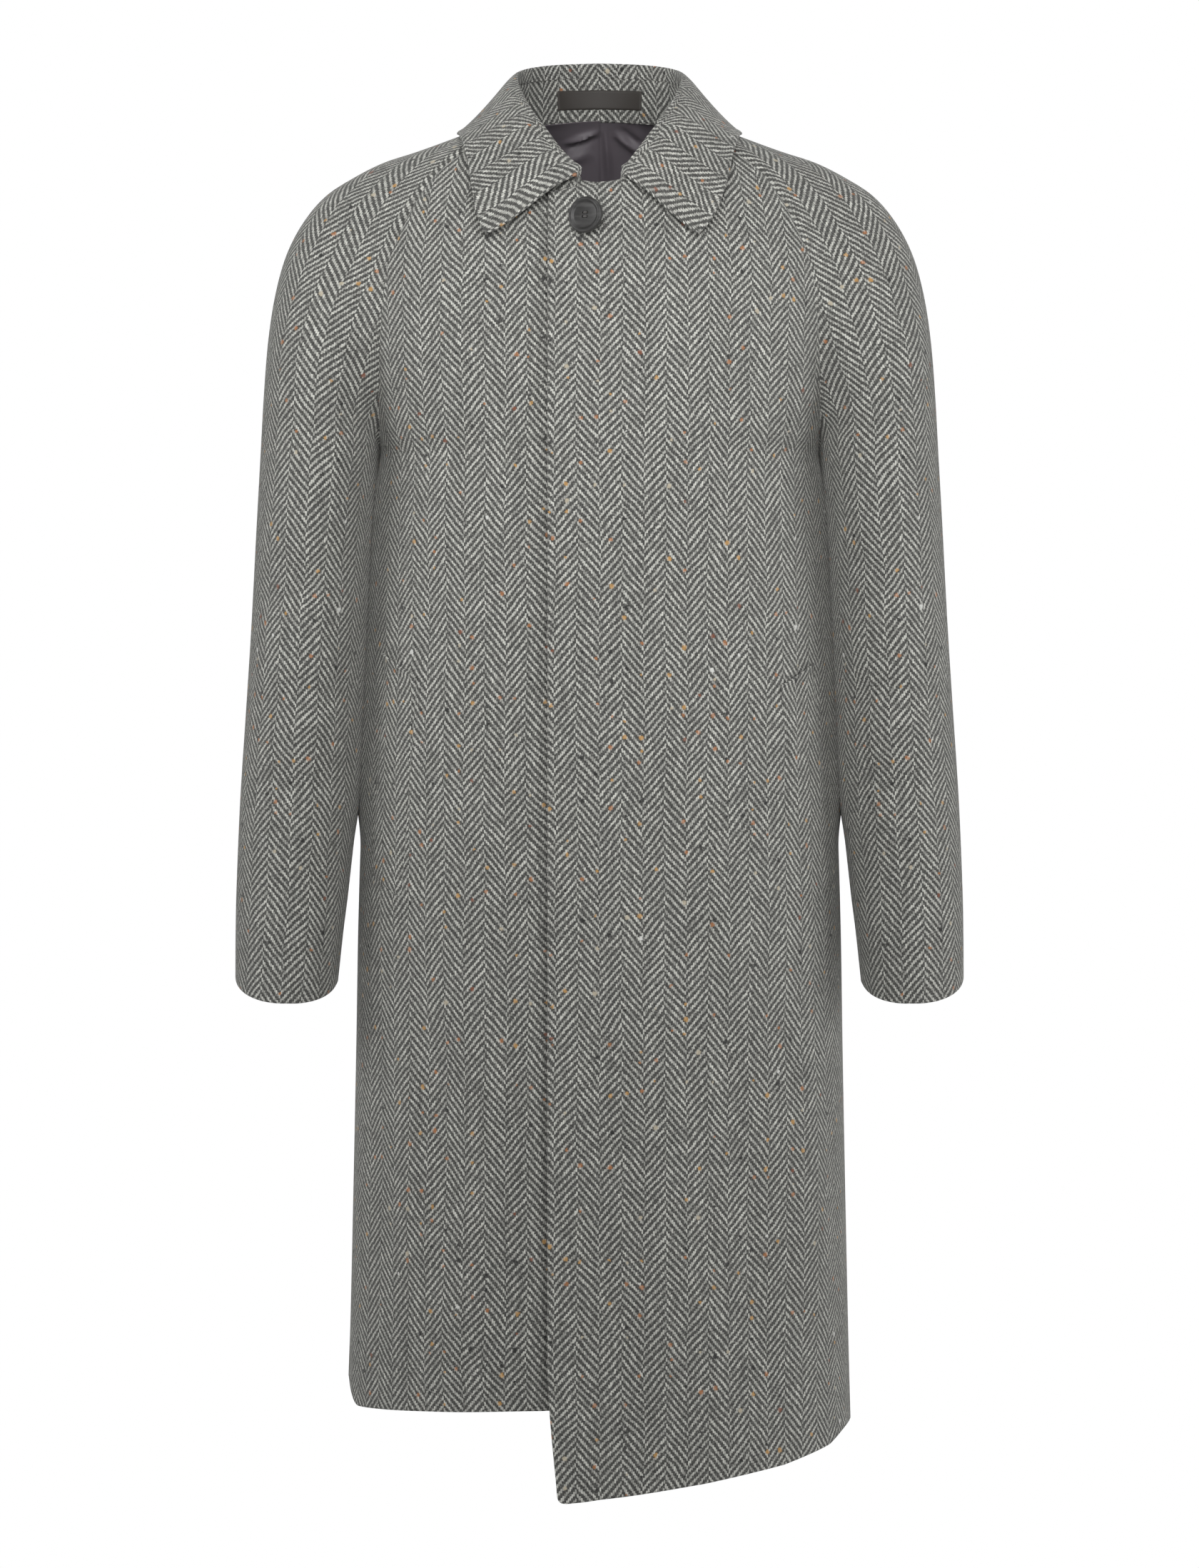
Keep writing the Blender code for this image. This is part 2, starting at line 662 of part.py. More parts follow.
def button_seat(turned):
    """The button's middle, as close to the left front as its rounded back allows."""
    y = math.inf
    for radius, height in button_profile():
        for k in range(24):
            angle = math.radians(15 * k)
            rim = turned @ Vector((radius * math.cos(angle), radius * math.sin(angle), height))
            cloth = front_at(abs(BUTTON_X + rim.x), BUTTON_Z + rim.z)
            y = min(y, cloth.y - rim.y - LAY_GAP)
    return Vector((BUTTON_X, y, BUTTON_Z))


def add_button(collection, cutters):
    """The four-hole button, turned from its section, set on the left front."""
    mesh = bpy.data.meshes.new("button")
    profile = [(radius, 0.0, height) for radius, height in button_profile()]
    mesh.from_pydata(profile, [(k, k + 1) for k in range(len(profile) - 1)], [])
    button = add_object("button", mesh, collection, BUTTON)
    turn = button.modifiers.new("Turn", "SCREW")
    turn.steps = BUTTON_SIDES
    turn.render_steps = BUTTON_SIDES
    turn.use_merge_vertices = True
    turn.merge_threshold = 0.00001
    upright = Matrix.Rotation(math.radians(90) - BUTTON_LEAN, 4, "X")
    turned = Matrix.Rotation(-BUTTON_TURN, 4, "Z") @ upright
    place = Matrix.Translation(button_seat(turned)) @ turned
    button.matrix_world = place
    for k in range(4):
        angle = math.radians(45 + 90 * k)
        bpy.ops.mesh.primitive_cylinder_add(
            vertices=HOLE_SIDES, radius=BUTTON_HOLE_RADIUS, depth=3 * BUTTON_THICKNESS)
        drill = bpy.context.active_object
        drill.name = f"button_drill_{k + 1}"
        spot = BUTTON_HOLE_SPACING * Vector((math.cos(angle), math.sin(angle), 0))
        drill.matrix_world = place @ Matrix.Translation(spot)
        drill.hide_render = True
        drill.display_type = "WIRE"
        for home in drill.users_collection:
            home.objects.unlink(drill)
        cutters.objects.link(drill)
        cut = button.modifiers.new(f"Hole {k + 1}", "BOOLEAN")
        cut.operation = "DIFFERENCE"
        cut.object = drill
    return button


def new_collection(name):
    """A collection in the scene."""
    collection = bpy.data.collections.new(name)
    bpy.context.scene.collection.children.link(collection)
    return collection


def main():
    """Build every piece of the coat."""
    for old in list(bpy.data.objects):
        bpy.data.objects.remove(old)
    coat = new_collection(COAT_NAME)
    cutters = new_collection("cutters")
    add_front("front_left", 1, coat)
    add_front("front_right", -1, coat)
    add_back(coat)
    add_lining(coat)
    add_sleeve("sleeve_left", 1, coat)
    add_sleeve("sleeve_right", -1, coat)
    add_collar(coat)
    add_label(coat)
    for welt in WELTS:
        add_welt("welt_left" if welt.side > 0 else "welt_right", welt, coat)
    add_button(coat, cutters)


main()
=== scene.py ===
"""The looks of a raglan coat in herringbone tweed, filled out as worn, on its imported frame.

Every cloth piece is a thin shell on the form of its solid: the same sections, lofted finer, with
turned edges, sewn seams and soft creases. Tables are in millimetres and degrees, from the neck down.
Metres otherwise, +Z up; the front faces -Y and the wearer's left is +X.
"""

import math
from collections import namedtuple

import bpy
import numpy as np
from mathutils import Matrix, Vector


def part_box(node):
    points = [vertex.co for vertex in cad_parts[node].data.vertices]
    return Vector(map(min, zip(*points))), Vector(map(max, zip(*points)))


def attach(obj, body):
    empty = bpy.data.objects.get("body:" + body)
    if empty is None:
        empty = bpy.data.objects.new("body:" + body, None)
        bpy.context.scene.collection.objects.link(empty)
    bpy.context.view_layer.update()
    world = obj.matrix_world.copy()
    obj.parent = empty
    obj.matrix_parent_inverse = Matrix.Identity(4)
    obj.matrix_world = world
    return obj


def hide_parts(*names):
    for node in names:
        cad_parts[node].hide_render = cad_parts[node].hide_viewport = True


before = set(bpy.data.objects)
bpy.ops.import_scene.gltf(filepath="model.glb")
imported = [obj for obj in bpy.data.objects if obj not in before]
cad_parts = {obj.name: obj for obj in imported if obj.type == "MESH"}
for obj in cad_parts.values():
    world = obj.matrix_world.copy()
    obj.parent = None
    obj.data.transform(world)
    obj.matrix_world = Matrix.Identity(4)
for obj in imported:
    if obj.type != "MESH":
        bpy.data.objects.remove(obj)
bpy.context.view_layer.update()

bl_info = {
    "name": "Raglan Coat",
    "version": (1, 0, 0),
    "blender": (4, 5, 0),
    "location": "3D View > Sidebar > Coat",
    "description": "Makes the cloth, trim and stage of a herringbone raglan coat",
    "category": "Object",
}

MM = 0.001
LEAST_LENGTH = 1e-12
BODY_NAME = "root"


def listed(kind, *rows):
    """Rows of one kind, with named columns."""
    return [kind(*row) for row in rows]


# Neck opening: an oval, low at the throat and high at the nape
NECK_HALF_WIDTH = 0.080
NECK_HALF_DEPTH = 0.085
NECK_CENTRE_Y = -0.005
NECK_SIDE_Z = 0.012
THROAT_DROP = 0.054
NAPE_RISE = 0.011
FRONT_SEAM_ANGLE = math.radians(-35)
BACK_SEAM_ANGLE = math.radians(45)
NECK_STEP = 0.01

# Raglan seams from the neck to the underarm, with the way the cloth faces on each side of the seam
SeamRow = namedtuple("SeamRow", "x y z panel_az panel_el sleeve_az sleeve_el centre_y centre_z")
FRONT_SEAM = listed(
    SeamRow,
    (65.5, -53.8, -5.8, 30, 48, 30, 48, -90.0, -42),
    (88, -51, -10, 28, 46, 28, 46, -95.0, -52),
    (106, -52, -17, 27, 42, 27, 42, -99.5, -62),
    (123, -59, -31, 29, 34, 29, 34, -105.5, -78),
    (138, -67, -51, 33, 25, 31, 25, -111.5, -98),
    (149, -73, -72, 38, 17, 32, 17, -116.0, -118),
    (157, -76, -94, 44, 11, 28, 12, -119.2, -136),
    (162, -76, -117, 51, 6, 16, 8, -121.3, -152),
    (165, -72, -142, 58, 3, -8, 4, -123.2, -170),
    (167, -64, -172, 66, 1, -32, 2, -125.0, -192),
    (168, -47, -205, 75, 0, -55, 0, -126.6, -216),
    (168.2, -24, -232, 84, 0, -75, 0, -127.6, -236),
    (168, 0, -246, 90, 0, -90, 0, -128.0, -246),
)
BACK_SEAM = listed(
    SeamRow,
    (56.6, 55.1, 17.5, 36, 50, 36, 50, 80.0, 23),
    (80, 67, 6, 34, 46, 34, 46, 91.0, 10),
    (102, 78, -9, 34, 40, 34, 40, 99.0, -5),
    (120, 86, -27, 36, 33, 36, 33, 107.0, -24),
    (136, 91, -48, 40, 25, 38, 25, 113.5, -46),
    (147, 93, -70, 44, 17, 39, 17, 118.5, -68),
    (155, 92, -93, 49, 11, 34, 12, 122.0, -90),
    (160, 89, -117, 55, 6, 20, 8, 124.8, -113),
    (164, 82, -143, 61, 3, -4, 4, 126.2, -138),
    (166, 70, -172, 68, 1, -30, 2, 126.8, -166),
    (167.5, 50, -205, 76, 0, -53, 0, 126.6, -200),
    (168.2, 26, -232, 84, 0, -75, 0, 126.1, -229),
    (168, 0, -246, 90, 0, -90, 0, 125.8, -246),
)
UNDERARM = len(FRONT_SEAM) - 1

# Body below the underarm
BodyRow = namedtuple("BodyRow", "z half_width front back")
BODY = listed(
    BodyRow,
    (-246, 168, 128, 125.8),
    (-300, 171.5, 130, 125.5),
    (-400, 177, 133.2, 126.5),
    (-500, 182, 136.6, 129),
    (-600, 185.3, 140, 132.5),
    (-700, 187, 143.5, 136.5),
    (-800, 189, 147, 141),
    (-900, 191.2, 150.2, 146),
    (-967, 193, 152, 149.5),
)
HEM = UNDERARM + len(BODY) - 1
ROW_FULLNESS = 1.12
FULLNESS_ROWS = 3
LEAST_TURN = 0.03

# The left front hangs lower than the right: how far, by distance from the centre front
HemRow = namedtuple("HemRow", "x drop")
LEFT_HEM = listed(
    HemRow,
    (-40, 70),
    (0, 66),
    (80, 55),
    (140, 44),
    (175, 33),
    (193, 20),
)
HEM_DROP_START_Z = -0.500
LEFT_SIDE_DROP = 0.020

# Front lap
OVERLAP = 0.0390
OVERLAP_HEM = 0.0315
OVERLAP_LEAN_START = 18.6
UNDERLAP = 0.0350
LAP_TOP_SLOPE = 0.22
LAP_SLOPE_ROWS = 6
UNDER_DEPTH = 0.0034
UNDER_DEPTH_HEM = 0.0120
UNDER_DEPTH_POWER = 1.5

# Sleeve: the outer ridge from the neck to the underarm, then a tube to the cuff
RidgeRow = namedtuple("RidgeRow", "x y z ridge_pull seam_pull")
RIDGE = listed(
    RidgeRow,
    (80, -5, 12, 0.31, 0.35),
    (97, -2, 4, 0.35, 0.35),
    (117, 0, -3.6, 0.36, 0.35),
    (141, 1, -12, 0.38, 0.36),
    (166, 2, -20, 0.41, 0.37),
    (189, 2, -31.5, 0.44, 0.37),
    (211, 2, -46, 0.49, 0.37),
    (228, 2, -66, 0.53, 0.36),
    (241, 2, -91, 0.60, 0.34),
    (249.5, 2, -121, 0.68, 0.36),
    (255, 1, -157, 0.85, 0.52),
    (258.5, 1, -200, 1.00, 0.82),
    (261, 0, -246, 1.13, 1.13),
)
TubeRow = namedtuple("TubeRow", "z outer_x inner_x half_depth centre_y cuff_tilt")
TUBE = listed(
    TubeRow,
    (-246, 261, 169.2, 78, 0, 0),
    (-300, 264, 175.0, 77, 0, 0),
    (-378, 268, 179.0, 74, -2, 0),
    (-444, 272, 182.0, 70, -6, 0.02),
    (-510, 276, 186.0, 66, -12, 0.08),
    (-576, 278.5, 192.5, 62, -18, 0.20),
    (-612, 279, 197.0, 59, -22, 0.27),
    (-645, 279, 200.5, 57, -25, 0.35),
)
CUFF = UNDERARM + len(TUBE) - 1
SEAM_STEP = 0.1

# Collar from the nape to its front end: the neck angle, the roll line and the leaf's outer edge
CollarRow = namedtuple(
    "CollarRow", "neck_angle roll_x roll_y roll_z edge_x edge_y edge_z roll_shift edge_shift")
COLLAR = listed(
    CollarRow,
    (90, 0, 73, 63, 0, 99, 8, 0, 0),
    (65, 33, 66, 61, 50, 91, 7, 0, 0),
    (38, 56, 40, 55, 91, 60, 7, 0, 0),
    (5, 62, 5, 46, 109, 5, 3, 0, 0),
    (-20, 58, -28, 30, 107, -36, -3, 0, 0),
    (-36, 51, -48, 15.5, 102, -62, -18, 0, 0),
    (-52, 42, -64, 2, 98.5, -79, -35, 0, 0),
    (-66, 30, -76, -16, 95, -93, -52, 0, -1),
    (-76, 19, -84, -29, 90, -103.5, -70, 1, -3),
    (-83, 10, -87.5, -34, 80, -111, -87, 2.5, -5),
)
COLLAR_END = len(COLLAR) - 1
ROLL_DEPTH = 0.007
ROLL_DEPTH_MIN = 0.005
ROLL_WIDTH = 0.009
ROLL_RISE = 0.0027
STAND_WALL = 0.0027
STAND_END = 8.0
STAND_END_FADE = 0.5
STAND_LOW = -0.13
STAND_HIGH = 1.06
LEAF_BOW = -0.0018
LEAF_BOW_TOP = 0.3
LEAF_TUCK = 0.0100
LEAF_TUCK_BACK = 0.0050
CLOSE_START = COLLAR_END - 0.7
SEAM_TUCK = 0.0022
LEAF_WALL = 0.0034
LEAF_LIFT = 0.0032
LEAF_LIFT_AHEAD = 0.030
LEAF_LIFT_START = 0.0140
TIP_RADIUS = 0.0060
GAPE = 0.0042
GAPE_LEFT = 0.6
GAPE_AT = 0.034
GAPE_DEPTH = 0.026
GAPE_WIDTH = 0.028
NECK_SEAM_GAP = 0.0012
ROLL_SEAM_GAP = 0.0011

# Label on the stand's inner face
LABEL_END = 1.0
LABEL_LOW = 0.18
LABEL_HIGH = 0.67

# Pocket welts on the fronts
WeltRow = namedtuple("WeltRow", "name side top_z bottom_z top_x bottom_x")
WELTS = listed(
    WeltRow,
    ("welt_left", 1, -424, -590, 136, 158),
    ("welt_right", -1, -417, -585, 138, 150),
)
WELT_WIDTH = 0.040
WELT_TOP_RISE = 18

# Button at the throat
BUTTON_TURN = math.radians(27)
BUTTON_LEAN = math.radians(7)
BUTTON_THICKNESS = 0.0042
BUTTON_SIDES = 72
BUTTON_ROUND = 0.0007
BUTTON_ROUND_STEPS = 3
BUTTON_HOLES = 4
FACE_UP = 0.9
DISH_STEPS = ((0.4, 0.8), (0.4, 0.2))
DRILL_SIDES = 20
DRILL_LENGTH = 0.02

# Sewing thread: the strands on the button, and the buttonhole's stitches, seen straight ahead
THREAD_SIDES = 8
STRAND_RADIUS = 0.00032
STRAND_SHIFT = 0.00034
STRAND_RISE = 0.0008
STRAND_SINK = 0.0002
STRAND_BEND = 0.3
STRAND_POINTS = 13
STITCH_RADIUS = 0.00024
STITCH_LIFT = 0.0005
HOLE_START = (-4.0, -69.0)
HOLE_END = (6.8, -80.6)
HOLE_REACH = 0.0010
HOLE_STITCHES = 16
STITCH_PATH = ((-1.0, 0.0), (-0.4, STITCH_LIFT), (0.4, STITCH_LIFT), (1.0, 0.0))
THREAD_AXIS = (0.31, 0.83, 0.47)

# How finely the forms are traced before they are cut to even quads
TRACE_ROWS = 420
TRACE_PANEL = 220
TRACE_LAP = 24
TRACE_RAGLAN = 260
TRACE_TUBE = 160
TRACE_HALF_SLEEVE = 110
TRACE_COLLAR = 260
TRACE_LEAF = 60
TRACE_TUCK = 12
TRACE_STAND = 40
TRACE_WELT = 24
TRACE_WELT_ROWS = 80
HALVINGS = 26

# Cloth edges: where the grid is closest, then the fall of a turned edge and of a sewn seam
EDGE_STEPS = (0.0, 0.00015, 0.0005, 0.0011, 0.0022)
EDGE_RADIUS = 0.0011
SEAM_DIP = 0.0020
SEAM_DIP_WIDTH = 0.0022
SEAM_SWELL = 0.00035
SEAM_SWELL_AT = 0.0065
SEAM_SWELL_WIDTH = 0.0040

# Maps on each cloth piece. On the baked one, the face ends and the back begins at these shares
GRAIN_MAP = "grain"
BAKE_MAP = "OFBake"
BAKE_FACE = 0.78
BAKE_BACK = 0.80

# Angles up to which cloth, thread and button are shaded smooth, and the gap that is welded
SMOOTH_CLOTH = math.radians(55)
SMOOTH_THREAD = math.radians(60)
SMOOTH_BUTTON = math.radians(40)
SHARP_BUTTON = math.radians(25)
WELD_GAP = 0.00001

# Weave: ends in a column, picks in a repeat, and how its floats lean, vary, round off and fray
ENDS = 12
REPEAT = 4.0
FLOAT_SLANT = 0.16
FLOAT_TONE = 0.65
FLOAT_ROUND = 1.5
FLOAT_REACH = (0.45, 0.85)
FLOAT_TIP = (1.30, 0.50)
# Painted highlight and shade on the floats: how far their tone falls and rises with their height
FLOAT_PAINTED_SHADING = (0.45, 0.62)
FLOAT_EDGE = (0.02, 0.76)
FRAY = 2.1
FRAY_TONE = 1.3
FRAY_DARK = (3.0, 1.05)
FRAY_RELIEF = 0.9

# Noises of the tweed, by scale, detail and roughness; then the streaks' scales and the sways' reach
FUZZ = (620.0, 4.0, 0.65)
CLOUDS = (48.0, 3.0)
STREAKS = (190.0, 9.0, 1.0)
SWAYS = ((11.0, 0.0050), (42.0, 0.0022), (290.0, 0.0007))

# Neps: where each colour starts in the draw, their ragged outline, size, strength and relief
NEP_PLACES = (0.0, 0.30, 0.55, 0.66, 0.72, 0.96)
NEP_BLUR_SCALE = 600.0
NEP_BLUR = 0.0026
NEP_SIZE = (0.12, 0.10)
NEP_DEPTH = (0.4, 0.55)
NEP_CORE = 0.5
NEP_RELIEF = 0.8

# Noises of the satin, horn, thread and floor, and how far they change the tone
SATIN_SLANT = 0.35
SATIN_DRIFT = (30.0, 3.0)
SATIN_GRAIN = 2600.0
SATIN_TONES = (0.20, 0.04, 0.25)
HORN_TURN = (0.0, 0.9, 0.0)
HORN_STRETCH = (1.0, 1.0, 6.0)
HORN_STREAK = (60.0, 4.0)
HORN_FLECK = 1500.0
HORN_FLECK_TONE = 0.25
THREAD_PLY = 2200.0
FLOOR_DRIFT = (1.2, 3.0)
FLOOR_TONE = 0.02
FLOOR_GLOW = 0.5

# Walls, gaps and the points that the cloth faces away from
CLOTH_WALL = 0.0020
COLLAR_WALL = 0.0025
LINING_WALL = 0.0008
LABEL_WALL = 0.0008
LAY_GAP = 0.0004
BODY_CORE = (0.0, 0.0, -0.3)
ARM_CORE = (0.225, 0.0, -0.35)
NECK_CORE = (0.0, -0.005, 0.0)
PANEL_LEVEL = -0.40

# How the sleeve's grain leans out as it falls, over the shoulder and down the arm
SHOULDER_LEAN = math.radians(13)
ARM_LEAN = math.radians(3)
LEAN_TOP = -0.060
LEAN_FOOT = -0.260
EVEN_STEP = 0.0010
EVEN_TURNS = 400

# Where the raglan seams close up under the arm, and where the sleeves rest on the body
ARMHOLE_TOP = -0.070
ARMHOLE_FOOT = -0.250
ARMHOLE_FADE = 0.040
ARMHOLE_LAP = 0.0006
ARMHOLE_WIDTH = 0.0060
PRESS_TOP = -0.235
PRESS_FOOT = -0.498
PRESS_FADE = 0.050
PRESS_SWELL = 0.0023
PRESS_WIDTH = 0.0300
PRESS_FRONT = 2.4

# The right hem's rounded corner at the side and the sag towards it, and the cuffs' let-down inner side
HEM_ROUND = 0.0200
HEM_ROUND_WIDTH = 0.0500
HEM_ROUND_FADE = 0.0600
HEM_SAG = 0.0066
HEM_SAG_WIDTH = 0.3200
CUFF_TILT = 0.0040
CUFF_TILT_FADE = 0.0800

# Free edges of the collar and the lap, and how far the right front's pattern lies off the left's
BOLD_BEAD = 0.0007
BOLD_BEAD_AT = 0.0025
LAP_CURL = 0.0014
LAP_CURL_WIDTH = 0.0100
LAP_RADIUS = 0.0060
UNDER_SHIFT = 0.0050
UNDER_DROP = 0.0030

# Edges that are tucked in or felled, the pocket welts and the lining
TUCK_DROP = 0.0012
TUCK_WIDTH = 0.0022
FELL_DROP = 0.0008
FELL_WIDTH = 0.0020
WELT_LIFT = 0.0010
WELT_SHELL = 0.0007
WELT_SHIFT = 0.0030
WELT_DROP = 0.0032
WELT_STAND = 0.0022
WELT_STAND_WIDTH = 0.0050
LINING_SHORT = 8
LINING_FINE = 3
LINING_PULL = 2.6
LINING_PLEAT = 0.0008
LINING_PLEAT_WIDTH = 0.0009

# Finishes
TWEED = "herringbone_tweed"
LINING = "lining_satin"
LABEL = "label_satin"
HORN = "dark_horn"
THREAD = "dark_thread"

# Cut sizes of the cloth pieces in millimetres, and their flat areas in thousands of square millimetres
CutRow = namedtuple("CutRow", "name slot width length area held rests_on")
CUTS = listed(
    CutRow,
    ("front_left", "tweed", 316, 1034, 282, "hung", "collar_stand"),
    ("front_right", "tweed", 304, 966, 259, "hung", "collar_stand"),
    ("back", "tweed", 551, 1031, 465, "hung", "collar_stand"),
    ("lining_back", "lining", 478, 999, 384, "hung", "back"),
    ("sleeve_left", "tweed", 390, 765, 223, "hung", "front_left back"),
    ("sleeve_right", "tweed", 390, 765, 223, "hung", "front_right back"),
    ("collar_stand", "tweed", 509, 37, 14.4, "stretched", "front_left front_right back"),
    ("collar_leaf", "tweed", 566, 108, 41.7, "folded", "collar_stand"),
    ("label", "label", 72, 15.5, 1.1, "laid", "collar_stand"),
    ("welt_left", "tweed", 42, 188, 7.5, "laid", "front_left"),
    ("welt_right", "tweed", 42, 186, 7.3, "laid", "front_right"),
)

# Creases, in each piece's own flat sizes: across from its middle line and down from the neck's
# level. Troughs have a positive depth and ridges a negative one. They widen along their run.
CREASE_WIDTHS = (0.8, 0.4)
CREASE_POWER = 1.3
CreaseRow = namedtuple("CreaseRow", "across down end_across end_down width depth")
LEFT_CREASES = listed(
    CreaseRow,
    (0, 640, 8, 1060, 22, 4.0),
    (40, 600, 48, 1040, 20, -3.6),
    (95, 640, 130, 1040, 26, 4.0),
    (170, 620, 180, 1000, 24, -3.2),
    (60, 300, 110, 420, 22, 2.0),
)
RIGHT_CREASES = listed(
    CreaseRow,
    (40, -150, 40, 800, 4.5, 3.4),
    (40, 450, 32, 1250, 5, 3.8),
    (155, 600, 95, 900, 22, 5.0),
    (58, 600, 50, 1040, 26, 4.6),
    (110, 760, 105, 1040, 20, -3.4),
    (190, 600, 180, 1000, 24, 3.2),
    (100, 300, 150, 420, 22, 2.0),
)
BACK_CREASES = listed(
    CreaseRow,
    (-90, 560, -120, 1000, 36, 2.6),
    (-20, 620, -30, 1000, 36, -2.2),
    (70, 540, 100, 1000, 36, 2.6),
    (150, 300, 90, 420, 18, 1.4),
    (-150, 310, -90, 420, 18, 1.4),
)
SLEEVE_CREASES = listed(
    CreaseRow,
    (-150, 330, -20, 390, 14, 2.2),
    (-160, 430, -40, 466, 13, 3.0),
    (-160, 500, -30, 524, 14, 2.8),
    (-150, 560, -60, 600, 15, 2.2),
    (20, 350, 120, 390, 14, 2.0),
    (30, 470, 120, 440, 16, 1.8),
)
LINING_CREASES = listed(
    CreaseRow,
    (0, 0, 0, 200, 60, -3.0),
    (-32, 22, 3, 8, 2.8, -4.2),
    (-30, 28, 0, 14, 2.8, 2.6),
    (-38, 42, -4, 28, 4.4, -3.0),
    (-40, 62, -12, 96, 8, -3.0),
    (4, 2, 8, 60, 3.0, -3.2),
    (10, 10, 36, 34, 3.6, -4.2),
    (14, 6, 40, 28, 3.2, 2.4),
    (26, 2, 44, 64, 6, -3.2),
    (-60, 300, -70, 800, 20, -2.0),
    (60, 300, 70, 800, 20, -2.0),
)


def point(x, y, z):
    """Points from their three coordinates."""
    return np.stack(np.broadcast_arrays(x, y, z), axis=-1).astype(float)


def length(v):
    """The lengths of vectors, kept as a last axis."""
    return np.linalg.norm(v, axis=-1, keepdims=True)


def unit(v):
    """Vectors of length 1."""
    return v / np.maximum(length(v), LEAST_LENGTH)


def dot(a, b):
    """Dot products, kept as a last axis."""
    return np.sum(a * b, axis=-1, keepdims=True)


def turn_between(a, b):
    """The angles between vectors, kept as a last axis."""
    return np.arccos(np.clip(dot(unit(a), unit(b)), -1, 1))


def ease(x):
    """0 below 0, 1 above 1, and smooth between."""
    x = np.clip(x, 0.0, 1.0)
    return x * x * (3 - 2 * x)


def bell(x, width):
    """A bump: 1 at 0, and gone a few widths away."""
    return np.exp(-(x / width) ** 2)


def mirrored(points, side):
    """Points as they are where side is 1, and on the wearer's other side where it is -1."""
    return points * np.array([side, 1, 1])


def xyz(row):
    """The points of a table's rows."""
    return point(row.x, row.y, row.z)


def smooth(table, t):
    """The table's columns at the fractional rows t, on smooth curves through its rows."""
    rows = np.array(table, float)
    last = len(rows) - 1
    t = np.clip(t, 0.0, last)
    i = np.minimum(t.astype(int), last - 1)
    f = (t - i)[..., None]
    before = rows[np.maximum(i - 1, 0)]
    start = rows[i]
    end = rows[i + 1]
    after = rows[np.minimum(i + 2, last)]
    rise_in = 0.5 * (end - before)
    rise_out = 0.5 * (after - start)
    bend = 2 * (start - end) + rise_in + rise_out
    lean = 3 * (end - start) - 2 * rise_in - rise_out
    values = ((bend * f + lean) * f + rise_in) * f + start
    return type(table[0])(*np.moveaxis(values, -1, 0))


def bezier(controls, u):
    """Points at u on cubic curves."""
    a, b, c, d = controls
    u = np.asarray(u)[..., None]
    v = 1.0 - u
    return a * v ** 3 + b * (3 * v * v * u) + c * (3 * v * u * u) + d * u ** 3


def solve(function, low, high, target):
    """Where rising functions reach their targets, by halving."""
    low = np.full(np.shape(target), low, float)
    high = np.full(np.shape(target), high, float)
    for _ in range(HALVINGS):
        middle = 0.5 * (low + high)
        short = function(middle) < target
        low = np.where(short, middle, low)
        high = np.where(short, high, middle)
    return 0.5 * (low + high)


def facing(azimuth, elevation, ahead):
    """The directions that the cloth faces; ahead is -1 on the front and 1 on the back."""
    az = np.radians(azimuth)
    el = np.radians(elevation)
    return point(np.sin(az) * np.cos(el), ahead * np.cos(az) * np.cos(el), np.sin(el))


def neckline(angle):
    """Points on the neck oval; the angle runs from the throat (-90) by the side to the nape."""
    s = np.sin(angle)
    rise = np.where(s > 0, NAPE_RISE, -THROAT_DROP) * s * s
    return point(NECK_HALF_WIDTH * np.cos(angle), NECK_CENTRE_Y + NECK_HALF_DEPTH * s, NECK_SIDE_Z + rise)


def neckline_direction(angle):
    """The way the neck oval runs, towards the nape."""
    return unit(neckline(angle + NECK_STEP) - neckline(angle - NECK_STEP))


def span_controls(start, start_dir, end, end_dir, fullness):
    """Curves between two points that leave each in its own direction, round as an ellipse."""
    chord = end - start
    start_turn = np.maximum(turn_between(chord, start_dir), LEAST_TURN)
    end_turn = np.maximum(turn_between(-chord, end_dir), LEAST_TURN)
    base = fullness[..., None] * length(chord) / (3 * np.cos(0.25 * (start_turn + end_turn)) ** 2)
    balance = np.sin(start_turn) + np.sin(end_turn)
    start_reach = base * 2 * np.sin(end_turn) / balance
    end_reach = base * 2 * np.sin(start_turn) / balance
    return (start, start + start_dir * start_reach, end + end_dir * end_reach, end)


def from_neck(t, ahead, way, seam_dir):
    """Directions at a seam that start along the neck oval and settle into seam_dir down the rows."""
    neck_dir = neckline_direction(FRONT_SEAM_ANGLE if ahead < 0 else BACK_SEAM_ANGLE) * way
    settled = ease(t)[..., None]
    return unit(neck_dir * (1 - settled) + seam_dir * settled)


def panel_row(t, ahead, depth=0.0):
    """The curves of a front (ahead -1) or back (ahead 1) panel at rows t, from its middle line to
    its seam on the +X side. depth sets the middle line back into the coat."""
    above = (t <= UNDERARM)[..., None]
    row = smooth(FRONT_SEAM if ahead < 0 else BACK_SEAM, t)
    low = smooth(BODY, t - UNDERARM)
    low_middle = -low.front if ahead < 0 else low.back
    middle = np.where(above, point(0, row.centre_y, row.centre_z), point(0, low_middle, low.z)) * MM
    seam = np.where(above, xyz(row), point(low.half_width, 0, low.z)) * MM
    normal = np.where(above, facing(row.panel_az, row.panel_el, ahead), np.array([1.0, 0, 0]))
    middle[..., 1] -= ahead * depth
    chord = middle - seam
    seam_dir = from_neck(t, ahead, ahead, unit(chord - normal * dot(chord, normal)))
    fullness = 1 + (ROW_FULLNESS - 1) * np.minimum(t / FULLNESS_ROWS, 1)
    return span_controls(middle, np.array([1.0, 0, 0]), seam, seam_dir, fullness)


def under_depth(t):
    """How far the right front's middle line lies inside the left's at rows t."""
    lower = np.maximum(t - UNDERARM, 0) / (HEM - UNDERARM)
    return UNDER_DEPTH + (UNDER_DEPTH_HEM - UNDER_DEPTH) * lower ** UNDER_DEPTH_POWER


